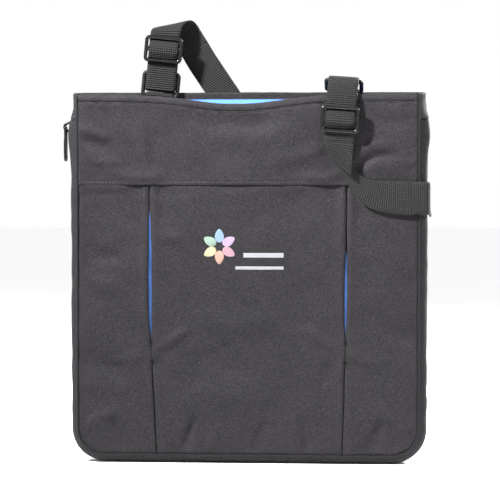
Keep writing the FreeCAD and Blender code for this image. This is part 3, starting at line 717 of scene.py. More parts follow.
def underlay(side, name):
    columns = []
    for off in spaced(-11.0, 11.0, 1.4):
        column = []
        for z in spaced(11.0, 279.0, 3.0)[::-1]:
            sink = 0.30 * math.cos(off / 11.0 * math.pi * 0.5) + 0.25 * ripple(off * 2.0, z, 17 + side, 20.0)
            column.append((slit_middle(side, z) + off, UNDERLAY_Y + sink, z))
        columns.append(column)
    obj = sheet("pleat_lining_" + name, columns, LINING, flip=True)
    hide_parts("pleat_underlay_" + name)
    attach(obj, "front_half")


def pleat_shade_strip(side, name):
    """Painted shade: where a slit stands nearly shut, a dark strip of trim cloth takes the place of the
    lining, so that the slit reads as a shadowed line.  Each strip narrows to a point, but the upper one goes
    on under the yoke."""
    parts = []
    for low, high, tip in ((11.0, TACKS[1], TACKS[1]), (205.0 if side > 0 else 246.0, 279.0, 400.0)):
        columns = []
        for across in (-1.0, -0.5, 0.0, 0.5, 1.0):
            column = []
            for z in spaced(low, high, 2.5)[::-1]:
                half = 3.4 * ease(min(z - low, tip - z) / 26.0)
                column.append((slit_middle(side, z) + across * half, UNDERLAY_Y - 0.5, z))
            columns.append(column)
        # painted shade: dark trim cloth in place of the lining, standing in for shadow in the slit
        parts.append(sheet(name, columns, TRIM, flip=True))
    obj = join("pleat_shade_strip_" + name, parts)
    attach(obj, "front_half")


def outward_front(_):
    return Vector((0, -1, 0))


def outward_back(_):
    return Vector((0, 1, 0))


yoke = yoke_shell()
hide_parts("yoke", "front_hem_facing", "front_panel")
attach(yoke, "front_half")

for kind in ("left", "centre", "right"):
    piece = pocket(kind)
    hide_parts("pocket_" + kind + "_panel")
    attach(piece, "front_half")
for side, name in ((-1, "left"), (1, "right")):
    underlay(side, name)
    pleat_shade_strip(side, name)


def yoke_row(height, seed, scale, sink, margin):
    """A line of thread along the yoke at height(x)."""
    row = []
    for x in spaced(-HALF + margin, HALF - margin, 2.0):
        z = height(x)
        lift = front_relief(x, z) * ease((front_top(x) - z) / 20.0) * 0.8
        row.append(P(x, YOKE_Y - lift + sink, z + 0.35 * ripple(x, 0, seed, scale)))
    return row


hem_row = yoke_row(lambda x: front_top(x) - HEM, 9, 26.0, 0.30, 4)
stitches("hem_stitches_front", hem_row, outward_front, STITCH, STITCH_SHOWN, "front_half")
edge_row = yoke_row(lambda x: YOKE_EDGE + 3.0, 12, 45.0, 0.18, 3)
stitches("yoke_edge_stitches", edge_row, outward_front, STITCH, STITCH_SHOWN, "front_half", 0.26)


def pleat_stitching():
    """Close topstitching beside each slit, and the zigzag bars that tack it shut."""
    rows, bars = [], []
    for side in (-1, 1):
        for hand in (-1, 1):
            path = []
            for z in spaced(14.0, 272.0, 3.0):
                x = slit_middle(side, z) + hand * (0.5 * slit_gap(side, z) + 5.0)
                lift = front_relief(x, z) * ease((YOKE_EDGE - 2.0 - z) / 14.0)
                path.append(P(x, POCKET_Y - lift + 0.12, z))
            rows.append(stitches("slit_row", path, outward_front, STITCH, SHORT_STITCH, "front_half", 0.22))
    for side in (-1, 1):
        for z0 in TACKS[::-1]:
            x0 = slit_middle(side, z0)
            y = POCKET_Y - front_relief(x0, z0) - 0.12
            zigzag = [P(x0 + (1.5 if i % 2 else -1.5), y, z0 - 2.7 + 0.3 * i) for i in range(19)]
            bars.append(tube("bar", zigzag, 0.22, THREAD, 6))
        path = []
        for i, z in enumerate(spaced(*TACKS, 1.0)):
            x = slit_middle(side, z)
            path.append(P(x + (0.9 if i % 2 else -0.9), POCKET_Y - front_relief(x, z) + 0.45, z))
        bars.append(tube("bar", path, 0.24, THREAD, 6))
    for obj in rows:
        obj.parent = None
    rows = join("pleat_topstitching", rows)
    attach(rows, "front_half")
    bars = join("pleat_bartacks", bars)
    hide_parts("pleat_tacks")
    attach(bars, "front_half")


pleat_stitching()


# ---------------------------------------------------------------- back wall
BACK_FOLDS = [
    ([(-120, 330), (-60, 318), (10, 322)], 9.0, 0.9),
    ([(-140, 250), (-60, 236), (0, 240)], 11.0, -0.8),
    ([(-150, 150), (-80, 128), (10, 124)], 12.0, 0.8),
    ([(60, 120), (120, 104), (165, 84)], 9.0, 0.8),
    ([(-30, 60), (40, 74), (120, 60)], 10.0, -0.7),
    ([(-150, 60), (-120, 44), (-90, 20)], 6.0, -0.7),
    ([(120, 20), (128, 34), (140, 50)], 5.0, -0.7),
    ([(-10, 12), (-6, 28), (4, 46)], 4.0, -0.7),
]


def back_shell():
    radius = 0.5 * (BACK_Y - LINING_Y)
    columns = []
    for x in spaced(-HALF, HALF, 2.2, CORNER_XS + SEAM_XS):
        top = BACK_TOP + 0.3 * ripple(x, 0, 21, 30.0) + 0.2 * ripple(x, 0, 22, 9.0)
        low = floor_of(x)
        edge = seam_roll(HALF - abs(x), 1.2)
        column = [(x, y - (edge if y > 18 else 0.0), z)
                  for y, z in hem_profile(top, BACK_Y, LINING_Y, radius)]
        zs = spaced(top - 16.0, top - radius - 0.8, 1.0)[::-1]
        zs += [top - 16.0 + (low - top + 16.0) * i / 150.0 for i in range(1, 151)]
        for z in zs:
            d = max(seam_distance(x, z), 0.0)
            lift = 1.1 * ripple(x, z, 23, 90.0) + 0.4 * ripple(x, z, 24, 30.0) + 0.14 * ripple(x, z, 25, 12.0)
            lift += sum(crease(x, z, *fold) for fold in BACK_FOLDS)
            lift *= (0.25 + 0.75 * ease(d / 12.0)) * ease((top - z) / 20.0)
            lift -= 0.45 * bell(z, top - HEM, 0.9)
            lift += 0.30 * ease((z - (top - HEM)) / 2.0) * (1.0 - ease((z - top + 5.0) / 4.0))
            lift += bell(z, SEAM_LOW, 13.0) * 0.4 * math.sin(x / 5.3 + 2.0 * ripple(x, 0, 26, 40.0))
            column.append((x, BACK_Y + clamp(lift, -1.6, 1.3) - seam_roll(d, 1.2), z))
        columns.append(column)
    return sheet("back_shell", columns, SHELL)


def back_hem_row(y, rise, margin):
    return [P(x, y, BACK_TOP - HEM + rise + 0.3 * ripple(x, 0, 21, 30.0))
            for x in spaced(-HALF + margin, HALF - margin, 2.0)]


back = back_shell()
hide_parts("back_panel", "back_hem_facing")
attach(back, "back_half")
stitches("hem_stitches_back", back_hem_row(BACK_Y + 0.1, 0.0, 4), outward_back, STITCH, STITCH_SHOWN,
         "back_half", 0.4)
stitches("hem_stitches_mouth", back_hem_row(LINING_Y - 0.1, 1.2, 6), outward_front, STITCH, STITCH_SHOWN,
         "back_half")


def lining_wall(name, sign, top_of, node, body):
    columns = []
    for x in spaced(-HALF + 3.0, HALF - 3.0, 3.0, CORNER_XS):
        low = floor_of(x) + 3.0
        top = top_of(x) - HEM + 1.0
        column = []
        for i in range(100):
            z = top + (low - top) * i / 99.0
            soft = 0.9 * ripple(x, z, 31 + sign, 50.0) + 0.4 * ripple(x, z, 33, 20.0)
            column.append((x, sign * (LINING_Y - 0.15 - ease((top - z) / 15.0) * (0.6 + 0.5 * soft)), z))
        columns.append(column)
    obj = sheet(name, columns, LINING, flip=sign > 0)
    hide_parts(node)
    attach(obj, body)


lining_wall("lining_back", 1, lambda x: BACK_TOP, "back_lining", "back_half")
lining_wall("lining_front", -1, front_top, "front_lining", "front_half")


def side_lining():
    columns = []
    for x, z, nx, nz, run in rim(345.0, 4.0):
        column = []
        for i in range(17):
            t = -1.0 + i / 8.0
            out = -1.2 + 3.2 * (1.0 - t * t) + 0.8 * ripple(run, t * 20.0, 35, 30.0) - 2.0
            column.append((x + nx * out, t * 15.9, z + nz * out))
        columns.append(column)
    obj = sheet("lining_sides", columns, LINING, flip=True)
    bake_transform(obj)


side_lining()


# ---------------------------------------------------------------- gussets, piping, zip
def gusset_bulge(x, z, run, sign):
    """Extra outward lift of a gusset along its length."""
    puff = 3.0 * bell(z, 326.0, 17.0) if abs(x) > HALF - 1 else 0.0
    wave = 0.8 * ripple(run, sign * 3.0, 41, 46.0) + 0.45 * ripple(run, sign * 3.0, 42, 15.0)
    return puff + wave + 0.18 * math.sin(run / 5.5 + 2.0 * ripple(run, sign, 43, 40.0))


# (y, outward) across a gusset strip, from its wall seam to the edge turned in at the zip
GUSSET_SECTION = [(19.9, -1.2), (19.6, 0.1), (19.0, 1.8), (18.0, 3.8), (16.6, 5.6), (14.8, 7.0),
                  (12.6, 7.9), (10.4, 8.35), (8.6, 8.45), (7.4, 8.25), (6.6, 8.4), (5.9, 8.2), (5.45, 7.8),
                  (5.4, 7.3), (5.7, 7.0), (7.5, 6.8)]
LOWEST_GUSSET = 8.42    # the bottom gusset stays flat, just above the floor


def zip_seam_outward(point):
    """Down at the bottom, slanted round its corners, and sideways up the sides."""
    offset = point - P(0, 0, 190)
    if offset.z >= -0.165:
        return Vector((math.copysign(1.0, offset.x), 0, 0))
    return Vector((0, 0, -1)) if abs(offset.x) < 0.15 else Vector((math.copysign(0.7, offset.x), 0, -0.7))


def gusset_strip(sign, body):
    columns = []
    side = "back" if sign > 0 else "front"
    for x, z, nx, nz, run in rim(ZIP_TOP + 0.6, 2.2):
        lift = gusset_bulge(x, z, run, sign)
        column = []
        for y, out in GUSSET_SECTION:
            weight = math.sin(math.pi * clamp((19.8 - y) / 19.0)) if y < 19.7 else 0.0
            weight = weight * 0.8 + (0.2 if 5.0 < y < 19.0 else 0.0)
            out += lift * weight * (1.0 - 0.6 * ease((7.0 - y) / 2.0))
            if nz < -0.5:
                out = min(out, LOWEST_GUSSET)
            column.append((x + nx * out, sign * y, z + nz * out))
        columns.append(column)
    obj = sheet("gusset_" + side, columns, SHADED_GUSSET, flip=sign > 0)
    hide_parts(side + "_gusset")
    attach(obj, body)
    points = []
    for x, z, nx, nz, run in rim(ZIP_TOP - 1.0, 2.5):
        lift = gusset_bulge(x, z, run, sign) * 0.5
        down = min(lift, 0.1) if nz < -0.5 else lift
        points.append(P(x + nx * (8.2 + lift), sign * 7.4, z + nz * (8.2 + down)))
    stitches("zip_seam_stitches_" + side, points, zip_seam_outward, STITCH, SHORT_STITCH, body, 0.24)


gusset_strip(1, "back_half")
gusset_strip(-1, "front_half")


def piping(sign, body, top):
    side = "back" if sign > 0 else "front"
    path = [P(x + nx * 0.9, sign * (20.4 + 0.15 * ripple(run, 0, 51, 22.0)), z + nz * 0.9)
            for x, z, nx, nz, run in rim(top, 3.0)]
    obj = tube("piping_" + side, path, 1.15, TRIM, 10, wobble=0.08)
    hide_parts(side + "_piping")
    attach(obj, body)


piping(1, "back_half", 368.0)
piping(-1, "front_half", 366.0)


# (y, outward) across a zipper tape, (y, low, high, half width) along a tooth, and the outline of a
# tooth's section as (share of its height, share of its half width)
TAPE_SECTION = ((6.6, 6.35), (5.2, 6.45), (4.0, 6.5), (2.9, 6.5), (1.6, 6.5), (0.9, 6.4), (0.6, 6.0))
TOOTH = ((3.1, 6.4, 7.0, 0.30), (2.5, 6.4, 7.7, 0.46), (1.2, 6.45, 8.05, 0.50), (0.45, 6.5, 7.9, 0.56),
         (0.2, 6.8, 7.5, 0.45))
TOOTH_PITCH = 1.5


def zip_half(sign, body):
    side = "back" if sign > 0 else "front"
    columns = [[(x + nx * out, sign * y, z + nz * out) for y, out in TAPE_SECTION]
               for x, z, nx, nz, _ in rim(ZIP_TOP + 2.0, 3.0)]
    tape = sheet("tape_" + side, columns, TAPE, flip=sign > 0)
    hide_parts("zipper_tape_" + side)
    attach(tape, body)
    verts, faces, uvs = [], [], []
    places = rim(ZIP_TOP, 1.0)
    runs = [p[4] for p in places]
    phase = 0.75 if sign > 0 else 0.25
    for k in range(int(runs[-1] / TOOTH_PITCH)):
        run = (k + phase) * TOOTH_PITCH
        i = clamp(bisect.bisect_left(runs, run), 1, len(runs) - 1)
        t = (run - runs[i - 1]) / max(runs[i] - runs[i - 1], 1e-6)
        x, z, nx, nz = (a + (b - a) * t for a, b in zip(places[i - 1][:4], places[i][:4]))
        start = len(verts)
        for y, low, high, wide in TOOTH:
            middle, shoulder = 0.5 * (low + high), high - 0.15
            for out, share in ((low, 0.7), (middle, 1.0), (shoulder, 0.75), (high, 0.0),
                               (shoulder, -0.75), (middle, -1.0), (low, -0.7)):
                w = wide * share
                verts.append(P(x + nx * out + nz * w, sign * y, z + nz * out - nx * w))
                uvs.append((0.001 * y, 0.001 * out))
        for a in range(start, start + 28, 7):
            faces += [(a + c, a + c + 1, a + c + 8, a + c + 7) for c in range(6)]
        faces.append(tuple(range(start, start + 7)))
        faces.append(tuple(range(start + 28, start + 35)))
    coil = mesh_object("coil_" + side, verts, faces, uvs, COIL)
    face_outward(coil)
    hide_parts("zipper_coil_" + side)
    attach(coil, body)


zip_half(1, "back_half")
zip_half(-1, "front_half")


def bellows():
    columns = []
    for x, z, nx, nz, run in rim(ZIP_TOP, 3.5):
        column = []
        for i in range(13):
            t = -1.0 + i / 6.0
            out = 5.6 - 7.2 * (1.0 - abs(t)) + 0.4 * bell(t, 0.0, 0.15) + 0.25 * ripple(run, t * 9, 55, 14.0)
            column.append((x + nx * out, 5.6 * t, z + nz * out))
        columns.append(column)
    obj = sheet("bellows", columns, TRIM, flip=True)
    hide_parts("expansion_bellows")
    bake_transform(obj)


bellows()


def cap(side, name):
    """Fixed end of the gusset above the zip, with its top turned in."""

    def bow(t):
        return 1.0 - abs(t) ** 2.6

    columns = []
    for i in range(41):
        t = -1.0 + i / 20.0
        y = 19.7 * t
        top = 369.2 + 0.9 * t + 0.3 * ripple(t * 20, side, 61, 12.0)
        section = [(7.0 * bow(t) - 3.2, z) for z in (top - 9.0, top - 5.0, top - 2.4)]
        for k in range(7):
            a = math.pi * k / 6
            section.append((7.0 * bow(t) - 1.6 - 1.6 * math.cos(a), top - 1.8 + 1.8 * math.sin(a)))
        for z in [top - 2.4 - (top - 3.6 - ZIP_TOP) * i / 16.0 for i in range(17)]:
            out = (7.0 + 3.0 * ease((356.0 - z) / 14.0) + 0.7 * ripple(y * 1.5, z, 62 + side, 14.0)) * bow(t)
            section.append((out - 0.45 * bell(z, top - HEM, 0.9), z))
        last = section[-1][0]
        section += [(last - 0.5, ZIP_TOP + 0.7), (last - 1.4, ZIP_TOP + 0.6), (last - 3.0, ZIP_TOP + 1.2)]
        columns.append([(side * (HALF + out), y, z) for out, z in section])
    obj = sheet("cap_" + name, columns, SHADED_GUSSET, flip=side < 0)
    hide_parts("gusset_cap_" + name)
    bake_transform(obj)
    lining = [[(side * (HALF + 6.6 * bow(t) - 3.9), 15.77 * t, z) for z in spaced(336.0, 362.5, 3.0)[::-1]]
              for t in (-1.0 + i / 10.0 for i in range(21))]
    inner = sheet("cap_lining_" + name, lining, LINING, flip=side > 0)
    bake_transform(inner)
    path = [P(side * (HALF + 9.95 * bow(t)), 19.7 * t, ZIP_TOP + 4.2)
            for t in (-0.93 + 1.86 * i / 30 for i in range(31))]
    row = stitches("cap_stitches_" + name, path, lambda _: Vector((side, 0, 0)), STITCH, SHORT_STITCH,
                   "back_half", 0.26)
    row.parent = None
    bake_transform(row)


cap(-1, "left")
cap(1, "right")


# ---------------------------------------------------------------- hard parts
TO_LEFT = Matrix(((0, 0, -1, 0), (1, 0, 0, 0), (0, 1, 0, 0), (0, 0, 0, 1)))
TO_RIGHT = Matrix(((0, 0, 1, 0), (1, 0, 0, 0), (0, 1, 0, 0), (0, 0, 0, 1)))


def plate(name, outline, holes, thickness, bevel, material, matrix):
    """A flat moulded plate from an outline and holes in (u, v) mm, with rounded rims."""
    curve = bpy.data.curves.new(name, "CURVE")
    curve.dimensions = "2D"
    curve.fill_mode = "BOTH"
    for points in [outline] + list(holes):
        spline = curve.splines.new("POLY")
        spline.points.add(len(points) - 1)
        for target, (u, v) in zip(spline.points, points):
            target.co = (0.001 * u, 0.001 * v, 0.0, 1.0)
        spline.use_cyclic_u = True
    curve.extrude = 0.0005 * thickness - 0.001 * bevel
    curve.bevel_depth = 0.001 * bevel
    curve.bevel_resolution = 3
    curve.offset = -0.001 * bevel
    holder = linked(name + "_curve", curve)
    bpy.context.view_layer.update()
    mesh = bpy.data.meshes.new_from_object(holder.evaluated_get(bpy.context.evaluated_depsgraph_get()))
    bpy.data.objects.remove(holder)
    mesh.transform(matrix)
    mesh.materials.clear()
    mesh.materials.append(material)
    mesh.name = name
    for polygon in mesh.polygons:
        polygon.use_smooth = polygon.area < 4e-7
    obj = linked(name, mesh)
    return obj


def rounded(width, height, radius, centre=(0.0, 0.0), steps=6):
    """Outline of a rounded rectangle."""
    points = []
    for sx, sy, start in ((1, 1, 0), (-1, 1, 90), (-1, -1, 180), (1, -1, 270)):
        cx = centre[0] + sx * (0.5 * width - radius)
        cy = centre[1] + sy * (0.5 * height - radius)
        for k in range(steps + 1):
            a = math.radians(start + 90.0 * k / steps)
            points.append((cx + radius * math.cos(a), cy + radius * math.sin(a)))
    return points


def box_middle(node):
    low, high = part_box(node)
    return Vector([0.5 * (a + b) for a, b in zip(low, high)])


def adjuster(name, tilt_deg):
    """Three-bar slide adjuster with plump rounded bars."""
    node = "adjuster_frame_" + name
    turn = Matrix.Rotation(math.radians(tilt_deg), 4, "Y")
    place = Matrix.Translation(box_middle(node)) @ turn @ Matrix.Rotation(math.radians(90.0), 4, "X")
    width, height, bar, depth, edge = 38.6, 26.8, 3.6, 3.6, 1.45
    slot_height = (height - 3.0 * bar) / 2.0
    holes = [rounded(width - 2.0 * bar, slot_height, 1.8, (0.0, side * 0.5 * (bar + slot_height)))[::-1]
             for side in (-1, 1)]
    obj = plate("adjuster_" + name + "_frame", rounded(width, height, 4.6), holes, depth, edge, PLASTIC,
                place)
    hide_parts(node)
    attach(obj, "adjuster_" + name)


adjuster("left", 5.5)
adjuster("right", 4.0)

for node in ("ring_left", "ring_right"):
    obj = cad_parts[node]
    obj.data.materials.clear()
    obj.data.materials.append(RING)
    for polygon in obj.data.polygons:
        polygon.use_smooth = True


def slider():
    """Zip slider on the left side: shouldered plates, flanges, and an arched crown."""
    right = [(4.4, 5.5), (4.9, 5.2), (4.9, 1.0), (4.3, -1.5), (3.7, -4.6), (3.1, -5.5)]
    shield = right + [(-u, v) for u, v in right[::-1]]
    pieces = []
    for out, thick, size in ((9.4, 1.6, 1.0), (5.4, 1.0, 0.72)):
        place = Matrix.Translation(P(-HALF - out, 0, 335.0)) @ TO_LEFT
        outline = [(u * size, v) for u, v in shield]
        pieces.append(plate("plate", outline, [], thick, 0.45, METAL, place))
    for sign in (-1, 1):
        path = [P(-HALF - 8.5, sign * w, z)
                for w, z in ((4.4, 339.6), (4.45, 336.0), (3.9, 333.4), (3.3, 330.4))]
        pieces.append(tube("flange", path, 0.55, METAL, 8))
    arch = []
    for k in range(17):
        a = math.pi * k / 16
        arch.append(P(-HALF - 9.8 - 6.6 * math.sin(a) ** 0.75, 0, 335.1 - 4.3 * math.cos(a)))
    pieces.append(tube("crown", arch, 1.55, METAL, 12, squash=0.85))
    obj = join("slider_body", pieces)
    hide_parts("zip_slider")
    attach(obj, "zip_slider")


def end_stops():
    """A small clamp over each end of the zip."""
    stops = []
    for side, turn in ((-1, TO_LEFT), (1, TO_RIGHT)):
        place = Matrix.Translation(P(side * (HALF + 7.0), 0, 343.4)) @ turn
        stops.append(plate("stop", rounded(5.2, 3.0, 0.9), [], 2.2, 0.4, METAL, place))
    stops = join("end_stops", stops)
    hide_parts("zip_end_stops")
    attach(stops, "back_half")


def puller():
    """Waisted pull with a window over the crown, a small hole, and a raised rim."""
    x, z = -HALF - 15.2, 333.4
    outline = []
    for k in range(9):
        a = math.radians(180.0 * k / 8)
        outline.append((3.6 * math.cos(a), 1.0 + 1.3 * math.sin(a)))
    outline += [(-3.7, -3.0), (-3.4, -6.0), (-4.1, -9.5), (-4.5, -14.0), (-4.5, -27.5)]
    for k in range(1, 8):
        a = math.radians(180.0 + 180.0 * k / 8)
        outline.append((4.5 * math.cos(a), -28.5 + 4.5 * math.sin(a)))
    outline += [(4.5, -27.5), (4.5, -14.0), (4.1, -9.5), (3.4, -6.0), (3.7, -3.0)]
    window = rounded(4.4, 5.2, 1.4, (0.0, -3.9))[::-1]
    hole = []
    for k in range(12):
        a = math.radians(30.0 * k)
        hole.append((1.5 * math.cos(a), -28.0 - 1.5 * math.sin(a)))
    place = Matrix.Translation(P(x, 0, z)) @ TO_LEFT
    tab = plate("pull", outline, [window, hole], 2.8, 0.8, METAL, place)
    rim_path = [P(x - 1.4, u, z + v) for u, v in ((-2.9, -12.0), (-2.9, -24.0), (-2.4, -25.0), (2.4, -25.0),
                                                  (2.9, -24.0), (2.9, -12.0), (2.4, -11.0), (-2.4, -11.0))]
    raised = tube("raised", rim_path, 0.3, METAL, 6, closed=True)
    obj = join("puller_tab", [tab, raised])
    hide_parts("zip_puller")
    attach(obj, "zip_puller")


slider()
end_stops()
puller()


# ---------------------------------------------------------------- webbing
def strap(name, stations, thickness=WEB, start_run=0.0):
    """Webbing through stations of (edge, other edge, outward), in mm.  It has a slight crown, firm
    rounded edges and closed ends."""
    divisions, bevel, tuck = 10, 0.30, 0.35
    verts, uvs = [], []
    half = 0.5 * thickness
    run = start_run
    last = None
    for low, high, out in stations:
        low, high, out = Vector(low), Vector(high), Vector(out).normalized()
        middle = 0.5 * (low + high)
        if last is not None:
            run += 0.001 * (middle - last).length
        last = middle
        across = high - low
        width = across.length
        faces_of = []
        for sign, crown, seam in ((1.0, 0.12, 0.0), (-1.0, 0.0, 0.2)):
            row = []
            for k in range(divisions + 1):
                t = k / divisions
                edge = k in (0, divisions)
                shift = math.copysign(tuck / width, 0.5 - t) if edge else 0.0
                lift = half - (bevel if edge else 0.0) + crown * math.sin(math.pi * t)
                row.append((low + across * (t + shift) + out * (sign * lift), t * width + seam))
            faces_of.append(row)
        ring = faces_of[0] + [(high, width + 0.6)] + faces_of[1][::-1] + [(low, -0.6)]
        for point, u in ring:
            verts.append(P(*point))
            uvs.append((0.001 * u, run))
    obj = mesh_object(name, verts, skin(len(stations), len(ring)), uvs, WEBBING)
    face_outward(obj)
    return obj, run


def smooth_stations(stations, per=4):
    """Catmull-Rom through stations, every part of each one."""
    def blend4(a, b, c, d, t):
        bend = (2 * a - 5 * b + 4 * c - d) * t * t + (3 * b - a - 3 * c + d) * t ** 3
        return 0.5 * (2 * b + (c - a) * t + bend)
    rows = [[Vector(v) for v in station] for station in stations]
    result = []
    last = len(rows) - 1
    for i in range(last):
        four = (rows[max(i - 1, 0)], rows[i], rows[i + 1], rows[min(i + 2, last)])
        for k in range(per):
            t = k / per
            result.append(tuple(blend4(*(row[j] for row in four), t) for j in range(3)))
    result.append(tuple(rows[-1]))
    return result


def pivot_frame(pivot, tilt_deg):
    """Returns a function from (across, y, up) about a ring's lower bar to the case's millimetres."""
    turn = Matrix.Rotation(math.radians(tilt_deg), 3, "Y")

    def at(across, y, up):
        return Vector(pivot) + turn @ Vector((across, y, up))
    return at


LEFT = pivot_frame((-91.0, 12.0, 366.5), 5.5)
RIGHT = pivot_frame((94.5, 12.0, 371.5), 4.0)


def path_stations(at, path, half=WEB_HALF, flip=1.0):
    """Stations for webbing bent along (y, up) points in a ring's frame."""
    stations = []
    for i, (y, up) in enumerate(path):
        y0, u0 = path[max(i - 1, 0)]
        y1, u1 = path[min(i + 1, len(path) - 1)]
        low, high = at(-half, y, up), at(half, y, up)
        normal = at(0, -(u1 - u0) * flip, (y1 - y0) * flip) - at(0, 0, 0)
        stations.append((low, high, normal))
    return stations


def ring_tab(name, at):
    """Loop of webbing round the ring's lower bar, its tail stitched to the back wall."""
    r = 3.05
    path = [(r, -27.0), (r, -20.0), (r, -10.0), (r, -2.0)]
    for k in range(1, 12):
        a = math.radians(180.0 * k / 12)
        path.append((r * math.cos(a), r * math.sin(a)))
    path += [(-r, -0.5), (-2.7, -2.2), (-1.2, -4.0), (0.9, -5.2), (1.55, -8.0), (1.6, -16.0), (1.6, -26.0)]
    obj, _ = strap("tab_" + name, smooth_stations(path_stations(at, path, 13.8), 3), 1.2)
    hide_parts("ring_tab_" + name)
    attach(obj, "back_half")
    square = [at(u, 3.75, v) for u, v in ((-11, -24), (11, -24), (11, -10), (-11, -10), (-11, -24), (11, -10),
                                          (11, -24), (-11, -10))]
    points = [P(*(a.lerp(b, k / 8))) for a, b in zip(square, square[1:]) for k in range(8)]
    stitches("tab_stitches_" + name, points, outward_back, 2.6, 2.0, "back_half", 0.3)


ring_tab("left", LEFT)
ring_tab("right", RIGHT)


def left_strap():
    """Through the left ring, up behind the adjuster, over the top and down behind the case."""
    loop = 8.25
    path = [(3.6, 58.0), (3.6, 48.0), (3.6, 36.0), (3.6, 24.0), (3.6, 14.0)]
    for k in range(0, 9):
        a = math.radians(90.0 - 22.5 * k)
        path.append((3.6 * math.sin(a), loop - 3.6 * math.cos(a)))
    path += [(-3.6, 14.0), (-3.6, 24.0), (-3.7, 36.0), (-3.6, 48.0), (-3.5, 57.0)]
    stations = path_stations(LEFT, path)
    # the arch: each station is given by its middle, the tilt of its width, and its outward side
    arch = [((-84.2, 7.6, 431.6), -1.0, (0.05, -0.85, 0.5)),
            ((-81.6, 10.6, 436.0), 6.0, (0.02, -0.45, 0.9)),
            ((-77.4, 15.2, 438.2), 13.0, (-0.05, 0.05, 1.0)),
            ((-72.6, 20.4, 436.8), 21.0, (-0.05, 0.5, 0.85)),
            ((-67.6, 24.8, 431.0), 28.5, (0.0, 0.85, 0.5)),
            ((-62.0, 26.6, 421.6), 33.0, (0.0, 0.985, 0.17)),
            ((-56.4, 26.0, 412.9), 34.0, (0.0, 1.0, 0.05))]
    for middle, tilt, out in arch:
        wide = Vector((math.cos(math.radians(tilt)), 0.0, math.sin(math.radians(tilt)))) * WEB_HALF
        stations.append((Vector(middle) - wide, Vector(middle) + wide, out))
    obj, run = strap("strap_left", smooth_stations(stations, 4))
    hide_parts("strap_end_left", "strap_arch_left")
    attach(obj, "ring_left")
    return stations[-1], run


DESCENT = Vector((0.56, 0.0, -0.83)).normalized()
DESCENT_WIDE = Vector((-DESCENT.z, 0.0, DESCENT.x))
FOLD_AT = Vector((66.0, 0.0, 218.0))
RISE = (Vector((178.0, 0.0, 264.0)) - FOLD_AT).normalized()
FOLD_ALONG = (DESCENT + RISE).normalized()


def meet(p, d, q, e):
    """Where two lines in the xz plane cross."""
    det = d.x * -e.z + e.x * d.z
    t = ((q.x - p.x) * -e.z + e.x * (q.z - p.z)) / det
    return Vector((p.x + d.x * t, 0.0, p.z + d.z * t))


BEHIND_Y = 22.2         # the strap's fall behind the case, and its rise over the fold
RISE_Y = 23.95
FOLD_R = 0.85


def flat_run(starts, ends, y, seed, count, out):
    """Stations between two pairs of edge points, lying nearly flat at depth y."""
    stations = []
    for i in range(count + 1):
        edges = [a.lerp(b, i / count) for a, b in zip(starts, ends)]
        for point in edges:
            point.y = y + 0.15 * ripple(point.x, point.z, seed, 18.0)
        stations.append((*edges, out))
    return stations


def strap_behind(first, run):
    """Down behind the case, over one flat diagonal fold, and up to the right edge."""
    top = Vector((-62.0, 0.0, 420.0))
    hang = [first]
    wide = DESCENT_WIDE * WEB_HALF
    for along, y in ((22.0, 24.9), (34.0, 23.6), (46.0, 22.7), (58.0, BEHIND_Y), (70.0, BEHIND_Y)):
        middle = top + DESCENT * along
        middle.y = y
        hang.append((middle - wide, middle + wide, (0, 1, 0)))
    obj, run = strap("strap_descent", smooth_stations(hang, 4), start_run=run)
    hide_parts("strap_back_descent")
    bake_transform(obj)
    start = top + DESCENT * 70.0
    starts = [start - wide, start + wide]
    folds = [meet(point, DESCENT, FOLD_AT, FOLD_ALONG) for point in starts]
    stations = flat_run(starts, folds, BEHIND_Y, 71, 24, (0, 1, 0))
    turn = Vector((FOLD_ALONG.z, 0.0, -FOLD_ALONG.x))
    if turn.z > 0:
        turn = -turn
    for k in range(1, 6):
        a = math.pi * k / 6
        y = BEHIND_Y + FOLD_R - FOLD_R * math.cos(a)
        shift = turn * (1.1 * math.sin(a))
        out = Vector((0, math.cos(a), 0)) + turn * math.sin(a)
        stations.append(tuple(Vector((f.x, y, f.z)) + shift for f in folds) + (out,))
    ends = [meet(fold, RISE, Vector((163.5, 0, 0)), Vector((0, 0, 1))) for fold in folds]
    stations += flat_run(folds, ends, RISE_Y, 72, 22, (0, -1, 0))
    obj, run = strap("strap_back", stations, start_run=run)
    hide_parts("strap_back_fall", "strap_back_fold", "strap_back_rise")
    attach(obj, "back_half")
    return ends, run


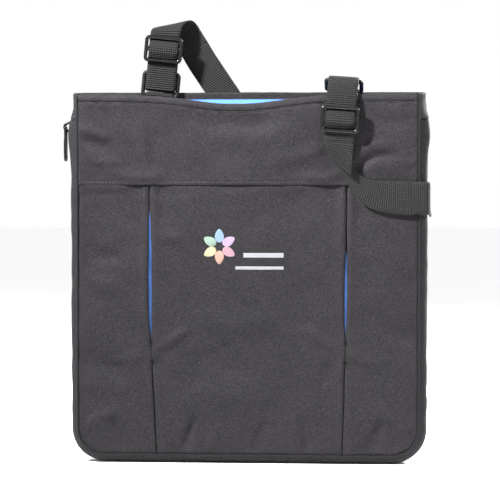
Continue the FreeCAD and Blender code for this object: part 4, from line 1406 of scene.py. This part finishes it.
def strap_round(ends, run):
    """Round the right edge and back across the front to the fold under the adjuster."""
    out = HALF + 8.5 + 1.8      # the strap's middle outside the gusset
    r = 5.0
    front_y = -25.0
    turn = [(r * math.cos(a), r * math.sin(a)) for a in (math.radians(90.0 - 15.0 * k) for k in range(7))]
    course = [(163.5, RISE_Y), (168.0, RISE_Y), (172.0, RISE_Y)]
    course += [(out - r + c, RISE_Y - r + s) for c, s in turn]
    course += [(out + 0.4, y) for y in (14.0, 9.0, 4.0, 0.0, -4.0, -9.0, -14.0)]
    course += [(out - r + c, front_y + r - s) for c, s in turn[::-1]]
    course += [(170.0, front_y), (165.0, front_y)]
    runs = distances(course)
    half_start = 0.5 * (ends[1].z - ends[0].z)
    mid_start = 0.5 * (ends[1].z + ends[0].z)
    heights = ((0.0, mid_start), (11.0, mid_start + 4.4), (24.0, 263.4), (runs[-1], 264.4))
    stations = []
    for i, ((x, y), s) in enumerate(zip(course, runs)):
        a = course[max(i - 1, 0)]
        b = course[min(i + 1, len(course) - 1)]
        flat = Vector((b[0] - a[0], b[1] - a[1], 0.0)).normalized()
        slope = (lerp_table(heights, s + 3.0) - lerp_table(heights, s - 3.0)) / 6.0
        if i in (0, 1):
            slope = RISE.z / RISE.x
        wide = (Vector((0, 0, 1.0)) - flat * slope * 0.6).normalized()
        wide *= half_start + (16.4 - half_start) * ease(s / 20.0)
        middle = Vector((x, y, lerp_table(heights, s)))
        low, high = middle - wide, middle + wide
        if i == 0:
            low, high = Vector((x, y, ends[0].z)), Vector((x, y, ends[1].z))
        stations.append((low, high, Vector((flat.y, -flat.x, 0.0))))
    crossing = course.index((out + 0.4, 0.0))
    # (x, z) of both edges across the front, which swing up to the fold under the adjuster
    front = [((158.0, 247.6), (158.0, 281.0)), ((150.0, 248.2), (150.0, 281.2)),
             ((140.0, 249.4), (141.5, 281.6)), ((129.5, 251.6), (133.5, 281.8)),
             ((121.0, 254.8), (127.5, 282.0)), ((113.5, 259.6), (122.0, 282.6)),
             ((107.4, 266.4), (117.0, 284.4)), ((102.4, 274.4), (112.0, 287.4)),
             ((98.2, 282.4), (107.5, 291.6)), ((94.6, 290.2), (103.5, 297.0)),
             ((91.6, 297.2), (99.5, 303.0)), ((89.2, 303.0), (96.0, 308.0))]
    for i, ((x0, z0), (x1, z1)) in enumerate(front):
        y = front_y + 0.8 * ease((i - 3) / 4.0)
        stations.append(((x0, y, z0), (x1, y, z1), (0, -1, 0)))
    wrap, run = strap("strap_wrap", smooth_stations(stations[:crossing + 5], 3), start_run=run)
    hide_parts("strap_wrap_right")
    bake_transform(wrap)
    run_front, run = strap("strap_across", smooth_stations(stations[crossing + 4:], 3), start_run=run)
    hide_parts("strap_front_run")
    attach(run_front, "front_half")


def right_strap():
    """Over the fallen right ring and down in front, folded away under itself at a slant."""
    lean, span = math.radians(66.0), 22.8
    bar = (-span * math.sin(lean), span * math.cos(lean))
    r = 3.4
    path = [(-36.6, -44.0), (-36.6, -30.0), (-36.4, -14.0), (-35.0, -3.0), (-29.0, 4.0)]
    for angle in range(-60, 120, 20):
        a = math.radians(angle)
        path.append((bar[0] + r * math.cos(a), bar[1] + r * math.sin(a)))
    path += [(-26.5, 11.6), (-30.6, 8.0), (-33.9, 4.0), (-38.0, -5.0), (-39.5, -16.0), (-39.6, -24.0)]
    path += [(-39.6, -34.0), (-39.6, -44.0), (-39.6, -52.0)]
    stations = path_stations(RIGHT, path, flip=-1.0)
    obj, run = strap("strap_right", smooth_stations(stations, 3))
    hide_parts("strap_end_right")
    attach(obj, "ring_right")
    # the slanted end: the left edge is shorter than the right one, and the end rolls under
    tail = [stations[-1]]
    for y, (a, va), (b, vb) in (
            (-39.8, (-13.4, -56.0), (15.0, -60.0)), (-41.0, (-10.8, -60.0), (15.0, -69.0)),
            (-42.1, (-7.8, -64.0), (15.1, -77.0)), (-42.7, (-4.8, -68.0), (15.3, -83.5))):
        tail.append((RIGHT(a, y, va), RIGHT(b, y, vb), (0, -1, 0)))
    low, high, _ = tail[-1]
    slant = (high - low).normalized()
    down = Vector((slant.z, 0.0, -slant.x))
    if down.z > 0:
        down = -down
    for k in range(1, 5):
        a = 0.5 * math.pi * k / 4
        shift = down * (0.9 * math.sin(a)) + Vector((0, 0.4 * (1.0 - math.cos(a)), 0))
        tail.append((low + shift, high + shift, Vector((0, -math.cos(a), 0)) + down * math.sin(a)))
    obj, _ = strap("strap_tuck", smooth_stations(tail, 2), start_run=run)
    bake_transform(obj)


first, run = left_strap()
ends, run = strap_behind(first, run)
strap_round(ends, run)
right_strap()


def patch(name, at, up, front):
    """Webbing where it crosses the adjuster's middle bar."""
    path = [(1.4, 8.6), (0.2, 7.0), (-0.9, 5.6), (-2.2, 3.9), (-2.95, 2.0)]
    path += [(-3.15, 0.0)] + [(y, -v) for y, v in path[::-1]]
    moved = [(front + y, up + v) for y, v in path]
    stations = smooth_stations(path_stations(at, moved, 14.5, flip=-1.0), 3)
    obj, _ = strap("adjuster_" + name + "_webbing", stations, 1.2)
    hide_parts("adjuster_webbing_" + name)
    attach(obj, "adjuster_" + name)


patch("left", LEFT, 46.5, -6.7)
patch("right", RIGHT, -29.5, -42.7)


# ---------------------------------------------------------------- emblem
PETALS = [(0.21, 0.14, 0.23), (0.12, 0.19, 0.28), (0.15, 0.23, 0.18), (0.28, 0.24, 0.13), (0.28, 0.16, 0.12),
          (0.25, 0.13, 0.17)]


def raised(x, z, height, s):
    """A point of padded stitching, s from -1 to 1 across it, on the centre pocket."""
    lift = height * math.sqrt(max(0.0, 1.0 - s * s)) - 0.15
    return (x, POCKET_Y - front_relief(x, z) - lift, z)


def emblem():
    """Embroidered six-petal rosette and two bars, in pale satin thread."""
    cx, cz = -28.0, 216.0
    pieces = []
    for i, colour in enumerate(PETALS):
        a = math.radians(60.0 * i + 30.0)
        ux, uz = math.cos(a), math.sin(a)
        columns = []
        for k in range(25):
            t = k / 24.0
            reach = 3.6 + 14.4 * t
            half = 4.9 * math.sin(math.pi * t ** 0.8) ** 0.7 if 0 < t < 1 else 0.05
            half += 0.12 * (1 if k % 2 else -1)
            height = 0.75 * min(1.0, 6.0 * t, 6.0 * (1.0 - t))
            column = []
            for j in range(9):
                s = -1.0 + j / 4.0
                x, z = cx + ux * reach - uz * half * s, cz + uz * reach + ux * half * s
                column.append(raised(x, z, height, s))
            columns.append(column)
        material = satin("petal_thread_%d" % i, colour)
        pieces.append(sheet("petal_%d" % i, columns, material, flip=True))
    grey = satin("bar_thread", (0.19, 0.19, 0.21))
    for x0, x1, z0, z1 in ((-4.0, 36.0, 205.0, 210.0), (-12.0, 36.0, 193.0, 196.5)):
        columns = []
        count = int((x1 - x0) / 0.5)
        for k in range(count + 1):
            x = x0 + (x1 - x0) * k / count
            half = 0.5 * (z1 - z0 + (0.3 if k % 2 else 0.0))
            columns.append([raised(x, 0.5 * (z0 + z1) + half * s, 0.6, s)
                            for s in (-1.0 + j / 3.0 for j in range(7))])
        pieces.append(sheet("bar_%d" % int(z0), columns, grey, flip=True))
    obj = join("emblem_stitching", pieces)
    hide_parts("emblem")
    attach(obj, "front_half")


emblem()


# ---------------------------------------------------------------- stage, light and camera
def stage_set():
    """A wide round paper floor under a white room."""
    verts, faces = [(0.0, 0.0, -0.0005)], []
    sides = 96
    for radius in (0.6, 2.0, 9.0):
        for k in range(sides):
            a = 2.0 * math.pi * k / sides
            verts.append((radius * math.cos(a), radius * math.sin(a), -0.0005))
    for k in range(sides):
        m = (k + 1) % sides
        faces.append((0, 1 + k, 1 + m))
        for ring in (0, 1):
            a, b = 1 + ring * sides, 1 + (ring + 1) * sides
            faces.append((a + k, b + k, b + m, a + m))
    mesh = bpy.data.meshes.new("floor_paper")
    mesh.from_pydata(verts, [], faces)
    material, tree, shader = new_material("floor_paper")
    n = Nodes(tree)
    mottle = n.noise(n.coordinates("Object", (1.0, 1.0, 1.0)), 3.0, 3.0)
    n.put(shader.inputs["Base Color"], n.ramp(mottle, [(0.2, (0.92, 0.92, 0.92)), (0.8, (0.95, 0.95, 0.95))]))
    shader.inputs["Roughness"].default_value = 0.9
    mesh.materials.append(material)
    linked("floor_paper", mesh)


def area_light(name, place, target, size, power, spread=180.0):
    light = bpy.data.lights.new(name, "AREA")
    light.shape = "RECTANGLE"
    light.size, light.size_y = size
    light.energy = power
    light.spread = math.radians(spread)
    obj = linked(name, light)
    obj.location = place
    obj.rotation_euler = (Vector(target) - Vector(place)).to_track_quat("-Z", "Y").to_euler()


def light_and_camera():
    scene = bpy.context.scene
    scene.view_settings.view_transform = "Standard"
    world = bpy.data.worlds.new("studio")
    world.use_nodes = True
    background = world.node_tree.nodes["Background"]
    background.inputs[0].default_value = (1.0, 1.0, 1.0, 1.0)
    background.inputs[1].default_value = 1.0
    scene.world = world
    aim = P(0, 0, 220)
    for name, offset, towards, size, power, spread in (
            ("key", (-0.80, -0.68, 1.00), (0.05, 0.0, 0.20), (0.13, 0.13), 26.0, 76.0),
            ("softbox", (0.95, -0.42, 0.70), (0.0, 0.0, 0.10), (0.60, 0.35), 18.0, 180.0),
            ("behind", (1.1, 1.5, 0.9), (0.0, 0.0, 0.0), (0.7, 0.7), 100.0, 180.0)):
        area_light(name, aim + Vector(offset), aim + Vector(towards), size, power, spread)
    camera = bpy.data.cameras.new("camera")
    camera.lens = 187.0
    camera.sensor_width = 36.0
    obj = linked("camera", camera)
    azimuth, elevation, distance = math.radians(4.5), math.radians(2.0), 2.6
    target = P(1.0, 0, 212.0)
    offset = Vector((math.sin(azimuth) * math.cos(elevation), -math.cos(azimuth) * math.cos(elevation),
                     math.sin(elevation)))
    obj.location = target + offset * distance
    obj.rotation_euler = (-offset).to_track_quat("-Z", "Y").to_euler()
    scene.camera = obj


stage_set()
light_and_camera()
